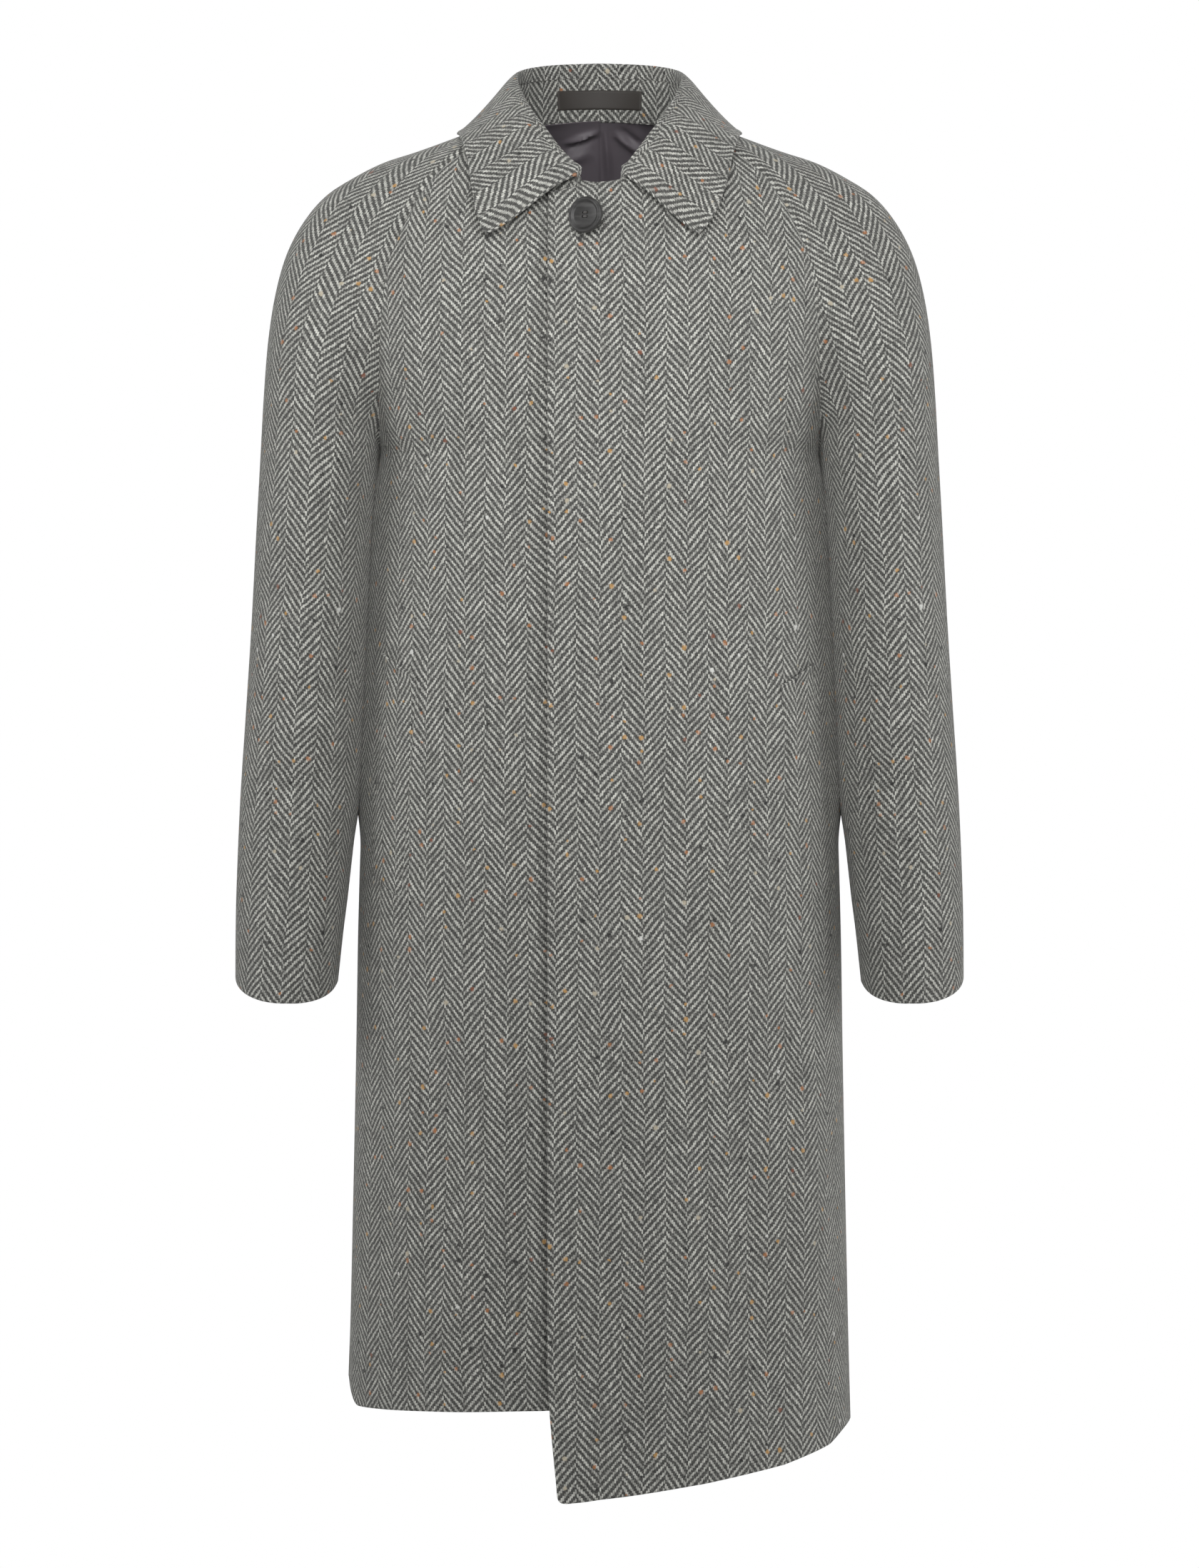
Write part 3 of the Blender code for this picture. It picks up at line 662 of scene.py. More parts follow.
def front_row(t, under):
    """The curves of the front on top, or of the one under it, at rows t."""
    return panel_row(t, -1, under_depth(t) if under else 0.0)


def hem_drop(side, x):
    """How far the hem of the front on this side hangs below the level one."""
    if side < 0:
        return np.zeros_like(x)
    across = np.array([row.x for row in LEFT_HEM]) * MM
    return smooth(LEFT_HEM, np.interp(x, across, np.arange(len(across)))).drop * MM


def lowered(points, drop):
    """Body points after the cloth below the hip is let down by the hem drop."""
    z = points[..., 2]
    share = ease((HEM_DROP_START_Z - z) / (HEM_DROP_START_Z - BODY[-1].z * MM))
    return point(points[..., 0], points[..., 1], z - drop * share)


def front_at(x, z, under=False):
    """The points of the +X front's surface that are seen straight ahead at (x, z)."""
    def row_point(t):
        controls = front_row(t, under)
        u = solve(lambda s: bezier(controls, s)[..., 0], 0.0, 1.0, x)
        return bezier(controls, u)
    t = solve(lambda s: -row_point(s)[..., 2], 0.0, float(HEM), -z)
    return row_point(t)


def lap_points(side, t, share):
    """Points of the lap beyond the middle line; share runs from 0 there to 1 at the edge."""
    lean = ease((t - OVERLAP_LEAN_START) / (HEM - OVERLAP_LEAN_START))
    width = OVERLAP + (OVERLAP_HEM - OVERLAP) * lean if side > 0 else UNDERLAP
    x = (width + np.zeros_like(t)) * share
    slope = LAP_TOP_SLOPE * (1 - ease(t / LAP_SLOPE_ROWS))
    middle_z = panel_row(t, -1)[0][..., 2]
    points = front_at(x, middle_z - slope * x, under=side < 0)
    return mirrored(lowered(points, hem_drop(side, -x)), -side)


def front_form(side):
    """The outer face of one front, from the lap edge to its seams."""
    t = np.linspace(0, HEM, TRACE_ROWS)[:, None]
    share = np.linspace(1, 0, TRACE_LAP, endpoint=False)[None, :]
    lap = lap_points(side, t, share)
    body = bezier(front_row(t, side < 0), np.linspace(0, 1, TRACE_PANEL)[None, :])
    body = mirrored(lowered(body, hem_drop(side, body[..., 0])), side)
    return np.concatenate([lap, body], axis=1)


def back_form():
    """The outer face of the back, from its right seam to its left."""
    t = np.linspace(0, HEM, TRACE_ROWS)[:, None]
    u = np.linspace(-1, 1, 2 * TRACE_PANEL + 1)[None, :]
    points = bezier(panel_row(t, 1), np.abs(u)) * point(np.sign(u), 1, 1)
    drop = LEFT_SIDE_DROP * 0.5 * (1 + points[..., 0] / (BODY[-1].half_width * MM))
    return lowered(points, drop)


def sleeve_arc(t, ahead):
    """The half sections of the +X sleeve at rows t, from the ridge to the front or back seam."""
    table = FRONT_SEAM if ahead < 0 else BACK_SEAM
    above = (t < UNDERARM)[..., None]
    top = smooth(RIDGE, t)
    side = smooth(table, t)
    along_seam = unit(xyz(smooth(table, t + SEAM_STEP)) - xyz(smooth(table, t - SEAM_STEP)))
    tube = smooth(TUBE, t - UNDERARM)
    ridge = np.where(above, xyz(top), point(tube.outer_x, tube.centre_y, tube.z)) * MM
    seam = np.where(above, xyz(side), point(tube.inner_x, tube.centre_y, tube.z)) * MM
    normal = facing(side.sleeve_az, side.sleeve_el, ahead)
    chord = ridge - seam
    along_chord = unit(chord - normal * dot(chord, normal))
    across_seam = unit(np.cross(normal, along_seam)) * -ahead
    seam_dir = from_neck(t, ahead, -ahead, unit(along_chord + across_seam))
    ahead_dir = np.array([0.0, ahead, 0.0])
    round_reach = tube.half_depth[..., None] * MM * 4 / 3
    ridge_reach = np.where(above, top.ridge_pull[..., None] * length(chord), round_reach)
    seam_reach = np.where(above, top.seam_pull[..., None] * length(chord), round_reach)
    seam_dir = np.where(above, seam_dir, ahead_dir)
    return (ridge, ridge + ahead_dir * ridge_reach, seam + seam_dir * seam_reach, seam)


def sleeve_form(side):
    """The outer face of one sleeve, from its front seam over the ridge to its back seam."""
    raglan = np.linspace(0, UNDERARM, TRACE_RAGLAN, endpoint=False)
    t = np.concatenate([raglan, np.linspace(UNDERARM, CUFF, TRACE_TUBE)])[:, None]
    u = np.linspace(0, 1, TRACE_HALF_SLEEVE + 1)[None, :]
    front = bezier(sleeve_arc(t, -1), u)[:, :0:-1]
    back = bezier(sleeve_arc(t, 1), u)
    points = np.concatenate([front, back], axis=1)
    tube = smooth(TUBE, t - UNDERARM)
    tilt = np.where(t > UNDERARM, tube.cuff_tilt, 0.0)
    points[..., 2] += tilt * (points[..., 1] - tube.centre_y * MM)
    return mirrored(points, side)


CollarSection = namedtuple("CollarSection", "foot up depth seam out edge")


def collar_section(s):
    """The collar at stations s, negative on the wearer's right: the neck seam, the stand's rise, the
    roll's depth, the leaf's seam on the stand, the way out over the shoulder and the leaf's edge."""
    side = np.where(s < 0, -1.0, 1.0)
    row = smooth(COLLAR, np.abs(s))
    foot = neckline(np.radians(row.neck_angle)) * point(side, 1, 1)
    roll = point(side * row.roll_x + row.roll_shift, row.roll_y, row.roll_z) * MM
    edge = point(side * row.edge_x + row.edge_shift, row.edge_y, row.edge_z) * MM
    up = unit(roll - foot)
    depth = np.clip(0.5 * length(roll - foot), ROLL_DEPTH_MIN, ROLL_DEPTH)
    seam = roll - up * depth
    out = unit((edge - seam) * np.array([1, 1, 0]))
    return CollarSection(foot, up, depth, seam, out, edge)


def leaf_form():
    """The leaf's outer face: over the roll first, then down to the edge, from right to left."""
    s = np.linspace(-COLLAR_END, COLLAR_END, 2 * TRACE_COLLAR + 1)[:, None]
    here = collar_section(s)
    turn = here.seam + here.out * ROLL_WIDTH
    fall = here.edge - turn
    down = unit(fall)
    reach = (here.depth + ROLL_RISE) * 4 / 3
    roll = (here.seam, here.seam + here.up * reach, turn - down * reach, turn)
    sag = unit(here.out - down * dot(here.out, down)) * LEAF_BOW
    leaf = (turn, turn + fall / 3 + sag * LEAF_BOW_TOP, here.edge - fall / 3 + sag, here.edge)
    u = np.linspace(0, 1, TRACE_LEAF)[None, :]
    ends = ease((np.abs(s) - STAND_END) / STAND_END_FADE)[..., None]
    tuck = here.up * (SEAM_TUCK + (LEAF_TUCK - SEAM_TUCK) * ends)
    inside = here.seam - tuck * np.linspace(1, 0, TRACE_TUCK, endpoint=False)[None, :, None]
    rolled = np.concatenate([inside, bezier(roll, u)[:, :-1]], axis=1)
    closed = ease((np.abs(s) - CLOSE_START) / (COLLAR_END - CLOSE_START))[..., None]
    foot = turn - here.up * LEAF_TUCK + point(0, LEAF_TUCK_BACK, 0)
    share = np.linspace(0, 1, rolled.shape[1])[None, :, None]
    rolled = rolled * (1 - closed) + (foot * (1 - share) + turn * share) * closed
    return np.concatenate([rolled, bezier(leaf, u)], axis=1)


def stand_form(end, low, high):
    """The stand's hidden face between two shares of its height, from right to left."""
    s = np.linspace(-end, end, 2 * TRACE_COLLAR + 1)[:, None]
    here = collar_section(s)
    bottom = here.foot + np.array([0, 0, NECK_SEAM_GAP])
    top = here.seam + here.out * STAND_WALL - here.up * ROLL_SEAM_GAP
    rise = np.linspace(low, high, TRACE_STAND)[None, :, None]
    return bottom * (1 - rise) + top * rise


def travel(grid, axis):
    """The distance of each grid point from the first one on its line along the axis."""
    steps = np.linalg.norm(np.diff(grid, axis=axis), axis=-1)
    start = np.zeros_like(np.take(steps, [0], axis=axis))
    return np.concatenate([start, np.cumsum(steps, axis=axis)], axis=axis)


def places(total, count, first, last):
    """Distances along a line: even, and close together at an end that is an edge of the cloth."""
    edge = np.array(EDGE_STEPS)
    head = edge if first else edge[:1]
    tail = total - (edge[::-1] if last else edge[:1])
    return np.concatenate([head, np.linspace(head[-1], tail[0], count)[1:-1], tail])


def spread(form, count, first=True, last=True):
    """The form's lines cut again into evenly placed points."""
    lines = []
    for line, along in zip(form, travel(form, 1)):
        at = places(along[-1], count, first, last)
        lines.append(np.stack([np.interp(at, along, line[:, k]) for k in range(3)], axis=1))
    return np.array(lines)


def spread_down(form, count, first=True, last=True):
    """The form's columns cut again into evenly placed points."""
    return spread(form.transpose(1, 0, 2), count, first, last).transpose(1, 0, 2)


def panel_across(grid, side):
    """How far across a panel each point lies from the middle of the coat, on the flat cloth."""
    return grid[:, :1, 0] + side * travel(grid * np.array([1, 1, 0]), 1)


def grain_down(grid, across, level):
    """How far down the grain each point lies, given its place across."""
    drop = np.linalg.norm(np.diff(grid, axis=0), axis=-1)
    shift = np.diff(across, axis=0)
    steps = np.sqrt(np.maximum(drop ** 2 - shift ** 2, 0))
    down = np.concatenate([np.zeros((1, grid.shape[1])), np.cumsum(steps, axis=0)])
    at_level = [np.interp(-level, -grid[:, k, 2], down[:, k]) for k in range(grid.shape[1])]
    return down - np.array(at_level) - level


def outward(grid, core):
    """The directions in which a grid faces away from the point core."""
    normal = unit(np.cross(np.gradient(grid, axis=1), np.gradient(grid, axis=0)))
    return normal if np.mean(dot(normal, grid - np.array(core))) > 0 else -normal


def turned(distance):
    """The fall of a turned edge, by distance from it."""
    short = np.clip(EDGE_RADIUS - distance, 0, EDGE_RADIUS)
    return np.sqrt(EDGE_RADIUS ** 2 - short ** 2) - EDGE_RADIUS


def sewn(distance):
    """The dip of a seam and the swell of the turnings beside it, by distance from the stitching."""
    swell = SEAM_SWELL * bell(distance - SEAM_SWELL_AT, SEAM_SWELL_WIDTH)
    return swell - SEAM_DIP * bell(distance, SEAM_DIP_WIDTH)


def armhole(grid):
    """The seam between body and sleeve: open above, and closed where the two face each other."""
    z = grid[..., 2]
    fold = ease((ARMHOLE_TOP - z) / ARMHOLE_FADE) * (1 - ease((ARMHOLE_FOOT - z) / ARMHOLE_FADE))

    def fall(distance):
        return sewn(distance) * (1 - fold) + ARMHOLE_LAP * fold * bell(distance, ARMHOLE_WIDTH)
    return fall


def bold_edge(distance):
    """The fall of a collar edge, with a bead of turnings inside it."""
    return turned(distance) + BOLD_BEAD * bell(distance - BOLD_BEAD_AT, BOLD_BEAD_AT)


def lapped(distance):
    """The fall of a front's free edge, which curls up a little."""
    return turned(distance) + LAP_CURL * bell(distance, LAP_CURL_WIDTH)


def tucked(distance):
    """The drop of an edge that goes in under the next piece."""
    return -TUCK_DROP * (1 - ease((distance - TUCK_WIDTH) / TUCK_WIDTH))


def stood(distance):
    """The rise of a welt's open top, by distance below it."""
    return turned(distance) + WELT_STAND * bell(distance, WELT_STAND_WIDTH)


def felled(distance):
    """The drop of an edge sewn flat on the cloth below."""
    return -FELL_DROP * bell(distance, FELL_WIDTH)


def edge_falls(grid, first=None, last=None, top=None, bottom=None):
    """How far each point is moved out, by the kind of each of the four edges."""
    across = travel(grid, 1)
    down = travel(grid, 0)
    distances = ((first, across), (last, across[:, -1:] - across), (top, down), (bottom, down[-1:] - down))
    return sum(kind(distance) for kind, distance in distances if kind)


def pressed_side(grid, distance):
    """The swell where sleeve and body rest on each other, by distance from the side seam."""
    z = grid[..., 2]
    reach = ease((PRESS_TOP - z) / PRESS_FADE) * (1 - ease((PRESS_FOOT - z) / PRESS_FADE))
    return PRESS_SWELL * reach * bell(distance, PRESS_WIDTH)


def hem_rounded(grid, distance):
    """The grid with its hem let down towards the right side seam and its corner there lifted, by distance
    from the seam."""
    near = 1 - ease(distance / HEM_ROUND_WIDTH)
    sag = 1 - ease(distance / HEM_SAG_WIDTH)
    return grid + point(0, 0, (HEM_ROUND * near - HEM_SAG * sag) * at_foot(grid, HEM_ROUND_FADE))


def at_foot(grid, fade):
    """1 along the foot of a grid, fading out above it."""
    down = travel(grid, 0)
    return 1 - ease((down[-1:] - down) / fade)


def cuff_tilted(grid, side):
    """The grid with the inner side of its cuff let down."""
    x = side * grid[..., 0]
    middle = x[-1].mean()
    inner = np.clip((middle - x) / (x[-1].max() - middle), 0, 1)
    return grid - point(0, 0, CUFF_TILT * inner * at_foot(grid, CUFF_TILT_FADE))


def creased(across, down, table):
    """How far each point is moved out by the creases of a table."""
    out = np.zeros_like(across)
    for row in table:
        start = np.array([row.across, row.down]) * MM
        run = np.array([row.end_across, row.end_down]) * MM - start
        reach = np.hypot(*run)
        along = ((across - start[0]) * run[0] + (down - start[1]) * run[1]) / reach ** 2
        off = ((down - start[1]) * run[0] - (across - start[0]) * run[1]) / reach
        along = np.clip(along, 0, 1)
        width = row.width * MM * (CREASE_WIDTHS[0] + CREASE_WIDTHS[1] * along)
        out -= row.depth * MM * np.sin(np.pi * along) ** CREASE_POWER * bell(off, width)
    return out


def clear_selection():
    """Leave nothing selected."""
    bpy.ops.object.select_all(action="DESELECT")


def pick_out(piece):
    """Leave one piece selected and active."""
    clear_selection()
    piece.select_set(True)
    bpy.context.view_layer.objects.active = piece


def edit_all(operation, **settings):
    """Run an edit on the whole of the active mesh."""
    bpy.ops.object.mode_set(mode="EDIT")
    bpy.ops.mesh.select_all(action="SELECT")
    operation(**settings)
    bpy.ops.object.mode_set(mode="OBJECT")


def lay_cloth(name, grid, out, normal, across, down, wall, *finishes):
    """A cloth piece: a grid moved out along the way that it faces, and thickened behind. A second finish
    is for the back of the cloth."""
    grid = grid + normal * out[..., None]
    if np.mean(dot(np.cross(np.gradient(grid, axis=1), np.gradient(grid, axis=0)), normal)) < 0:
        grid, across, down = (values[:, ::-1] for values in (grid, across, down))
    clear_selection()
    rows, columns = grid.shape[:2]
    bpy.ops.mesh.primitive_grid_add(x_subdivisions=columns - 1, y_subdivisions=rows - 1)
    cloth = bpy.context.active_object
    cloth.name = name
    mesh = cloth.data
    mesh.name = name
    mesh.vertices.foreach_set("co", grid.reshape(-1).astype(np.float32))
    mesh.uv_layers.active.name = BAKE_MAP
    corners = np.empty(len(mesh.loops), np.int32)
    mesh.loops.foreach_get("vertex_index", corners)
    flat = np.stack([across.reshape(-1), down.reshape(-1)], axis=-1)[corners]
    mesh.uv_layers.new(name=GRAIN_MAP).uv.foreach_set("vector", flat.reshape(-1).astype(np.float32))
    for finish in finishes:
        mesh.materials.append(finish_named(finish))
    edit_all(bpy.ops.mesh.remove_doubles, threshold=WELD_GAP)
    solid = cloth.modifiers.new("Wall", "SOLIDIFY")
    solid.thickness = wall
    solid.offset = -1.0
    solid.use_quality_normals = True
    solid.material_offset = len(finishes) - 1
    bpy.ops.object.modifier_apply(modifier=solid.name)
    bpy.ops.object.shade_smooth_by_angle(angle=SMOOTH_CLOTH)
    if len(finishes) > 1:
        part_bake_map(cloth)
    return cloth


def part_bake_map(cloth):
    """Keep the back of the cloth apart from its face on the map that is baked."""
    mesh = cloth.data
    behind = np.empty(len(mesh.polygons), np.int32)
    mesh.polygons.foreach_get("material_index", behind)
    sizes = np.empty(len(mesh.polygons), np.int32)
    mesh.polygons.foreach_get("loop_total", sizes)
    behind = np.repeat(behind, sizes) > 0
    layer = mesh.uv_layers[BAKE_MAP].uv
    flat = np.empty(2 * len(mesh.loops), np.float32)
    layer.foreach_get("vector", flat)
    flat = flat.reshape(-1, 2)
    flat[:, 0] = np.where(behind, BAKE_BACK + (1 - BAKE_BACK) * flat[:, 0], BAKE_FACE * flat[:, 0])
    layer.foreach_set("vector", flat.reshape(-1))


class Finish:
    """A material being put together: each call adds a node and gives its output."""

    def __init__(self, name):
        self.material = bpy.data.materials.new(name)
        self.material.use_nodes = True
        self.tree = self.material.node_tree
        self.shader = self.tree.nodes["Principled BSDF"]

    def put(self, socket, value):
        """Set a socket, or link it to another node's output."""
        if isinstance(value, bpy.types.NodeSocket):
            self.tree.links.new(value, socket)
        else:
            socket.default_value = value

    def add(self, kind, inputs, output=0, **settings):
        """Add a node with these settings and inputs, and give one of its outputs, or all for None."""
        node = self.tree.nodes.new(kind)
        for key, value in settings.items():
            setattr(node, key, value)
        for key, value in inputs.items():
            self.put(node.inputs[key], value)
        return node.outputs if output is None else node.outputs[output]

    def parts(self, kind, value):
        """The parts of a value, from a node that takes it apart."""
        return self.add(kind, {0: value}, output=None)

    def math(self, operation, *values):
        """A Math node."""
        return self.add("ShaderNodeMath", dict(enumerate(values)), operation=operation)

    def range(self, value, low, high, start=0.0, end=1.0):
        """A smooth step from start to end as the value goes from low to high."""
        limits = {"Value": value, "From Min": low, "From Max": high, "To Min": start, "To Max": end}
        return self.add("ShaderNodeMapRange", limits, interpolation_type="SMOOTHSTEP")

    def mix(self, share, first, second):
        """A colour between two."""
        return self.add("ShaderNodeMix", {"Factor": share, 6: first, 7: second}, output=2, data_type="RGBA")

    def scaled(self, colour, value):
        """A colour made lighter or darker by a value."""
        return self.add("ShaderNodeVectorMath", {0: colour, "Scale": value}, operation="SCALE")

    def noise(self, place, scale, detail=2.0, roughness=0.5):
        """A Noise texture's value."""
        inputs = {"Vector": place, "Scale": scale, "Detail": detail, "Roughness": roughness}
        return self.add("ShaderNodeTexNoise", inputs)

    def wander(self, place, *settings):
        """A Noise texture's value to either side of 0."""
        return self.math("SUBTRACT", self.noise(place, *settings), 0.5)

    def relief(self, height, strength, distance):
        """Stand the surface out by a height."""
        inputs = {"Height": height, "Strength": strength, "Distance": distance}
        self.surface(Normal=self.add("ShaderNodeBump", inputs))

    def surface(self, **inputs):
        """Set the shader's own sockets, named with underscores for spaces."""
        for key, value in inputs.items():
            self.put(self.shader.inputs[key.replace("_", " ")], value)


def tweed_finish(cloth, colours):
    """Herringbone tweed: stepped twill in columns that lean both ways, flecked with coloured neps."""
    finish = Finish(TWEED)
    flat = finish.add("ShaderNodeUVMap", {}, uv_map=GRAIN_MAP)
    across, down = swayed(finish, flat)
    fuzz = finish.wander(flat, *FUZZ)
    warp, float_tone_and_painted_shading = warp_floats(finish, cloth, across, down, fuzz)
    cloud = finish.math("MULTIPLY_ADD", finish.wander(flat, *CLOUDS), cloth.cloud, 1.0)
    stretched = finish.add("ShaderNodeVectorMath", {0: flat, 1: STREAKS}, operation="MULTIPLY")
    streak = finish.math("MULTIPLY_ADD", finish.wander(stretched, 1.0), cloth.streak, 1.0)
    cloud = finish.math("MULTIPLY", cloud, streak)
    dark_tone = finish.math("MULTIPLY_ADD", fuzz, *FRAY_DARK)
    # The pale yarn's colour carries the floats' painted highlight and shade
    light = finish.scaled(tuple(colours.light_yarn), finish.math("MULTIPLY", float_tone_and_painted_shading, cloud))
    dark = finish.scaled(tuple(colours.dark_yarn), finish.math("MULTIPLY", dark_tone, cloud))
    shown = finish.range(finish.math("MULTIPLY_ADD", fuzz, FRAY, warp), *FLOAT_EDGE)
    nep, shade = neps(finish, cloth, colours, flat)
    height = finish.math("MULTIPLY_ADD", fuzz, FRAY_RELIEF, warp)
    height = finish.math("MULTIPLY_ADD", nep, NEP_RELIEF, height)
    finish.relief(height, 0.7, cloth.yarn_relief)
    finish.surface(Base_Color=finish.mix(nep, finish.mix(shown, dark, light), shade), Roughness=0.92,
                   Specular_IOR_Level=0.18, Sheen_Weight=cloth.nap, Sheen_Roughness=0.55,
                   Sheen_Tint=(0.93, 0.93, 0.90, 1.0))
    return finish.material


def swayed(finish, flat):
    """The place on the flat cloth, drawn a little out of true as handled cloth is."""
    spots = list(finish.parts("ShaderNodeSeparateXYZ", flat))[:2]
    for scale, reach in SWAYS:
        inputs = {"Vector": flat, "Scale": scale, "Detail": 1.0}
        sway = finish.add("ShaderNodeTexNoise", inputs, output="Color", noise_dimensions="2D")
        ways = finish.parts("ShaderNodeSeparateColor", sway)
        for k in range(2):
            shift = finish.math("SUBTRACT", ways[k], 0.5)
            spots[k] = finish.math("MULTIPLY_ADD", shift, reach, spots[k])
    return spots


def warp_floats(finish, cloth, across, down, fuzz):
    """The pale warp floats over the dark weft: how far each stands out, and its tone, painted lighter on its
    crown and darker at its sides as a painted highlight and shade.
    """
    column = finish.math("DIVIDE", across, cloth.column_width)
    number = finish.math("FLOOR", column)
    odd = finish.math("FLOORED_MODULO", number, 2.0)
    lean = finish.math("MULTIPLY_ADD", odd, -2.0, 1.0)
    inside = finish.math("MULTIPLY", finish.math("SUBTRACT", column, number), float(ENDS))
    end = finish.math("FLOOR", inside)
    pick = finish.math("DIVIDE", down, cloth.pick_height)
    step = finish.math("MULTIPLY_ADD", lean, end, finish.math("ADD", pick, odd))
    tie = finish.math("DIVIDE", step, REPEAT)
    tie_number = finish.math("FLOOR", tie)
    along = finish.math("MULTIPLY_ADD", finish.math("SUBTRACT", tie, tie_number), REPEAT, -1.0)

    own_end = finish.math("MULTIPLY_ADD", number, float(ENDS), end)
    own = finish.add("ShaderNodeCombineXYZ", {0: own_end, 1: tie_number, 2: 0.0})
    chance = finish.add("ShaderNodeTexWhiteNoise", {"Vector": own}, output="Color", noise_dimensions="2D")
    chances = finish.parts("ShaderNodeSeparateColor", chance)

    slant = finish.math("MULTIPLY", lean, FLOAT_SLANT)
    middle = finish.math("SUBTRACT", finish.math("SUBTRACT", inside, end), 0.5)
    side = finish.math("MULTIPLY", finish.math("MULTIPLY_ADD", slant, along, middle), FLOAT_ROUND)
    rib = finish.math("SUBTRACT", 1.0, finish.math("POWER", side, 2.0))
    reach = finish.math("MULTIPLY_ADD", chances[1], *FLOAT_REACH)
    tip = finish.math("DIVIDE", finish.math("ABSOLUTE", along), reach)
    warp = finish.math("MULTIPLY", rib, finish.range(tip, *FLOAT_TIP))
    tone = finish.math("MULTIPLY_ADD", chances[0], FLOAT_TONE, 1.0 - 0.5 * FLOAT_TONE)
    tone = finish.math("MULTIPLY_ADD", fuzz, FRAY_TONE, tone)
    # Painted highlight and shade: the float's tone is lighter where it stands out and darker towards its
    # sides
    return warp, finish.math("MULTIPLY", tone, finish.math("MULTIPLY_ADD", warp, *FLOAT_PAINTED_SHADING))


def neps(finish, cloth, colours, flat):
    """Coloured flecks: where they show, and their shades."""
    inputs = {"Vector": flat, "Scale": NEP_BLUR_SCALE, "Detail": 1.0}
    blur = finish.add("ShaderNodeTexNoise", inputs, output="Color")
    ragged = finish.add("ShaderNodeVectorMath", {0: finish.scaled(blur, NEP_BLUR), 1: flat}, operation="ADD")
    inputs = {"Vector": ragged, "Scale": 1.0 / cloth.nep_spacing}
    cells = finish.add("ShaderNodeTexVoronoi", inputs, output=None, voronoi_dimensions="2D")
    cell = finish.parts("ShaderNodeSeparateColor", cells["Color"])
    size = finish.math("MULTIPLY_ADD", cell[2], *NEP_SIZE)
    spot = finish.range(cells["Distance"], size, finish.math("MULTIPLY", size, NEP_CORE))
    chosen = finish.math("GREATER_THAN", cell[0], 1.0 - cloth.nep_share)
    ramp = finish.tree.nodes.new("ShaderNodeValToRGB")
    ramp.color_ramp.interpolation = "CONSTANT"
    shades = (colours.nep_rust, colours.nep_amber, colours.nep_cream, colours.nep_red, colours.nep_black,
              colours.nep_white)
    for place, shade in zip(NEP_PLACES, shades):
        stop = ramp.color_ramp.elements.new(place) if place else ramp.color_ramp.elements[0]
        stop.color = (*shade, 1.0)
    ramp.color_ramp.elements.remove(ramp.color_ramp.elements[-1])
    finish.put(ramp.inputs[0], cell[1])
    depth = finish.math("MULTIPLY_ADD", cell[1], *NEP_DEPTH)
    return finish.math("MULTIPLY", finish.math("MULTIPLY", spot, chosen), depth), ramp.outputs[0]


def satin_finish(name, colour, rib, roughness, sheen):
    """Smooth woven satin with a fine rib."""
    finish = Finish(name)
    flat = finish.add("ShaderNodeUVMap", {}, uv_map=GRAIN_MAP)
    across, down = list(finish.parts("ShaderNodeSeparateXYZ", flat))[:2]
    twill = finish.math("MULTIPLY_ADD", across, SATIN_SLANT, down)
    wave = finish.math("SINE", finish.math("MULTIPLY", twill, 2 * math.pi / rib))
    grain = finish.noise(flat, SATIN_GRAIN)
    changes = (finish.wander(flat, *SATIN_DRIFT), wave, finish.math("SUBTRACT", grain, 0.5))
    tone = 1.0
    for change, share in zip(changes, SATIN_TONES):
        tone = finish.math("MULTIPLY_ADD", change, share, tone)
    finish.relief(finish.math("MULTIPLY_ADD", wave, 0.5, grain), 0.35, 0.0001)
    finish.surface(Base_Color=finish.scaled(tuple(colour), tone), Roughness=roughness,
                   Specular_IOR_Level=0.35, Sheen_Weight=sheen, Sheen_Roughness=0.4)
    return finish.material


def horn_finish(name, colour):
    """Dark horn with faint streaks, softly polished."""
    finish = Finish(name)
    place = finish.add("ShaderNodeTexCoord", {}, output="Object")
    turn = finish.add("ShaderNodeMapping", {"Vector": place, "Rotation": HORN_TURN, "Scale": HORN_STRETCH})
    streak = finish.noise(turn, *HORN_STREAK)
    fleck = finish.noise(place, HORN_FLECK)
    tone = finish.range(streak, 0.35, 0.75, start=0.75, end=1.55)
    tone = finish.math("MULTIPLY_ADD", finish.math("SUBTRACT", fleck, 0.5), HORN_FLECK_TONE, tone)
    finish.relief(fleck, 0.10, 0.0002)
    finish.surface(Base_Color=finish.scaled(tuple(colour), tone), Specular_IOR_Level=0.45,
                   Roughness=finish.range(streak, 0.3, 0.8, start=0.34, end=0.48))
    return finish.material


def thread_finish(name, colour):
    """Twisted sewing thread."""
    finish = Finish(name)
    ply = finish.noise(finish.add("ShaderNodeTexCoord", {}, output="Object"), THREAD_PLY)
    tone = finish.range(ply, 0.3, 0.7, start=0.6, end=1.4)
    finish.relief(ply, 0.6, 0.0002)
    finish.surface(Base_Color=finish.scaled(tuple(colour), tone), Roughness=0.75)
    return finish.material


def floor_finish(name, colour):
    """Pale matt studio floor, which the camera sees a little brighter than it is lit."""
    finish = Finish(name)
    drift = finish.wander(finish.add("ShaderNodeTexCoord", {}, output="Object"), *FLOOR_DRIFT)
    tone = finish.math("MULTIPLY_ADD", drift, FLOOR_TONE, 1.0)
    seen = finish.add("ShaderNodeLightPath", {}, output="Is Camera Ray")
    finish.surface(Base_Color=finish.scaled(tuple(colour), tone), Roughness=0.9, Specular_IOR_Level=0.1,
                   Emission_Color=(1.0, 1.0, 1.0, 1.0),
                   Emission_Strength=finish.math("MULTIPLY", seen, FLOOR_GLOW))
    return finish.material


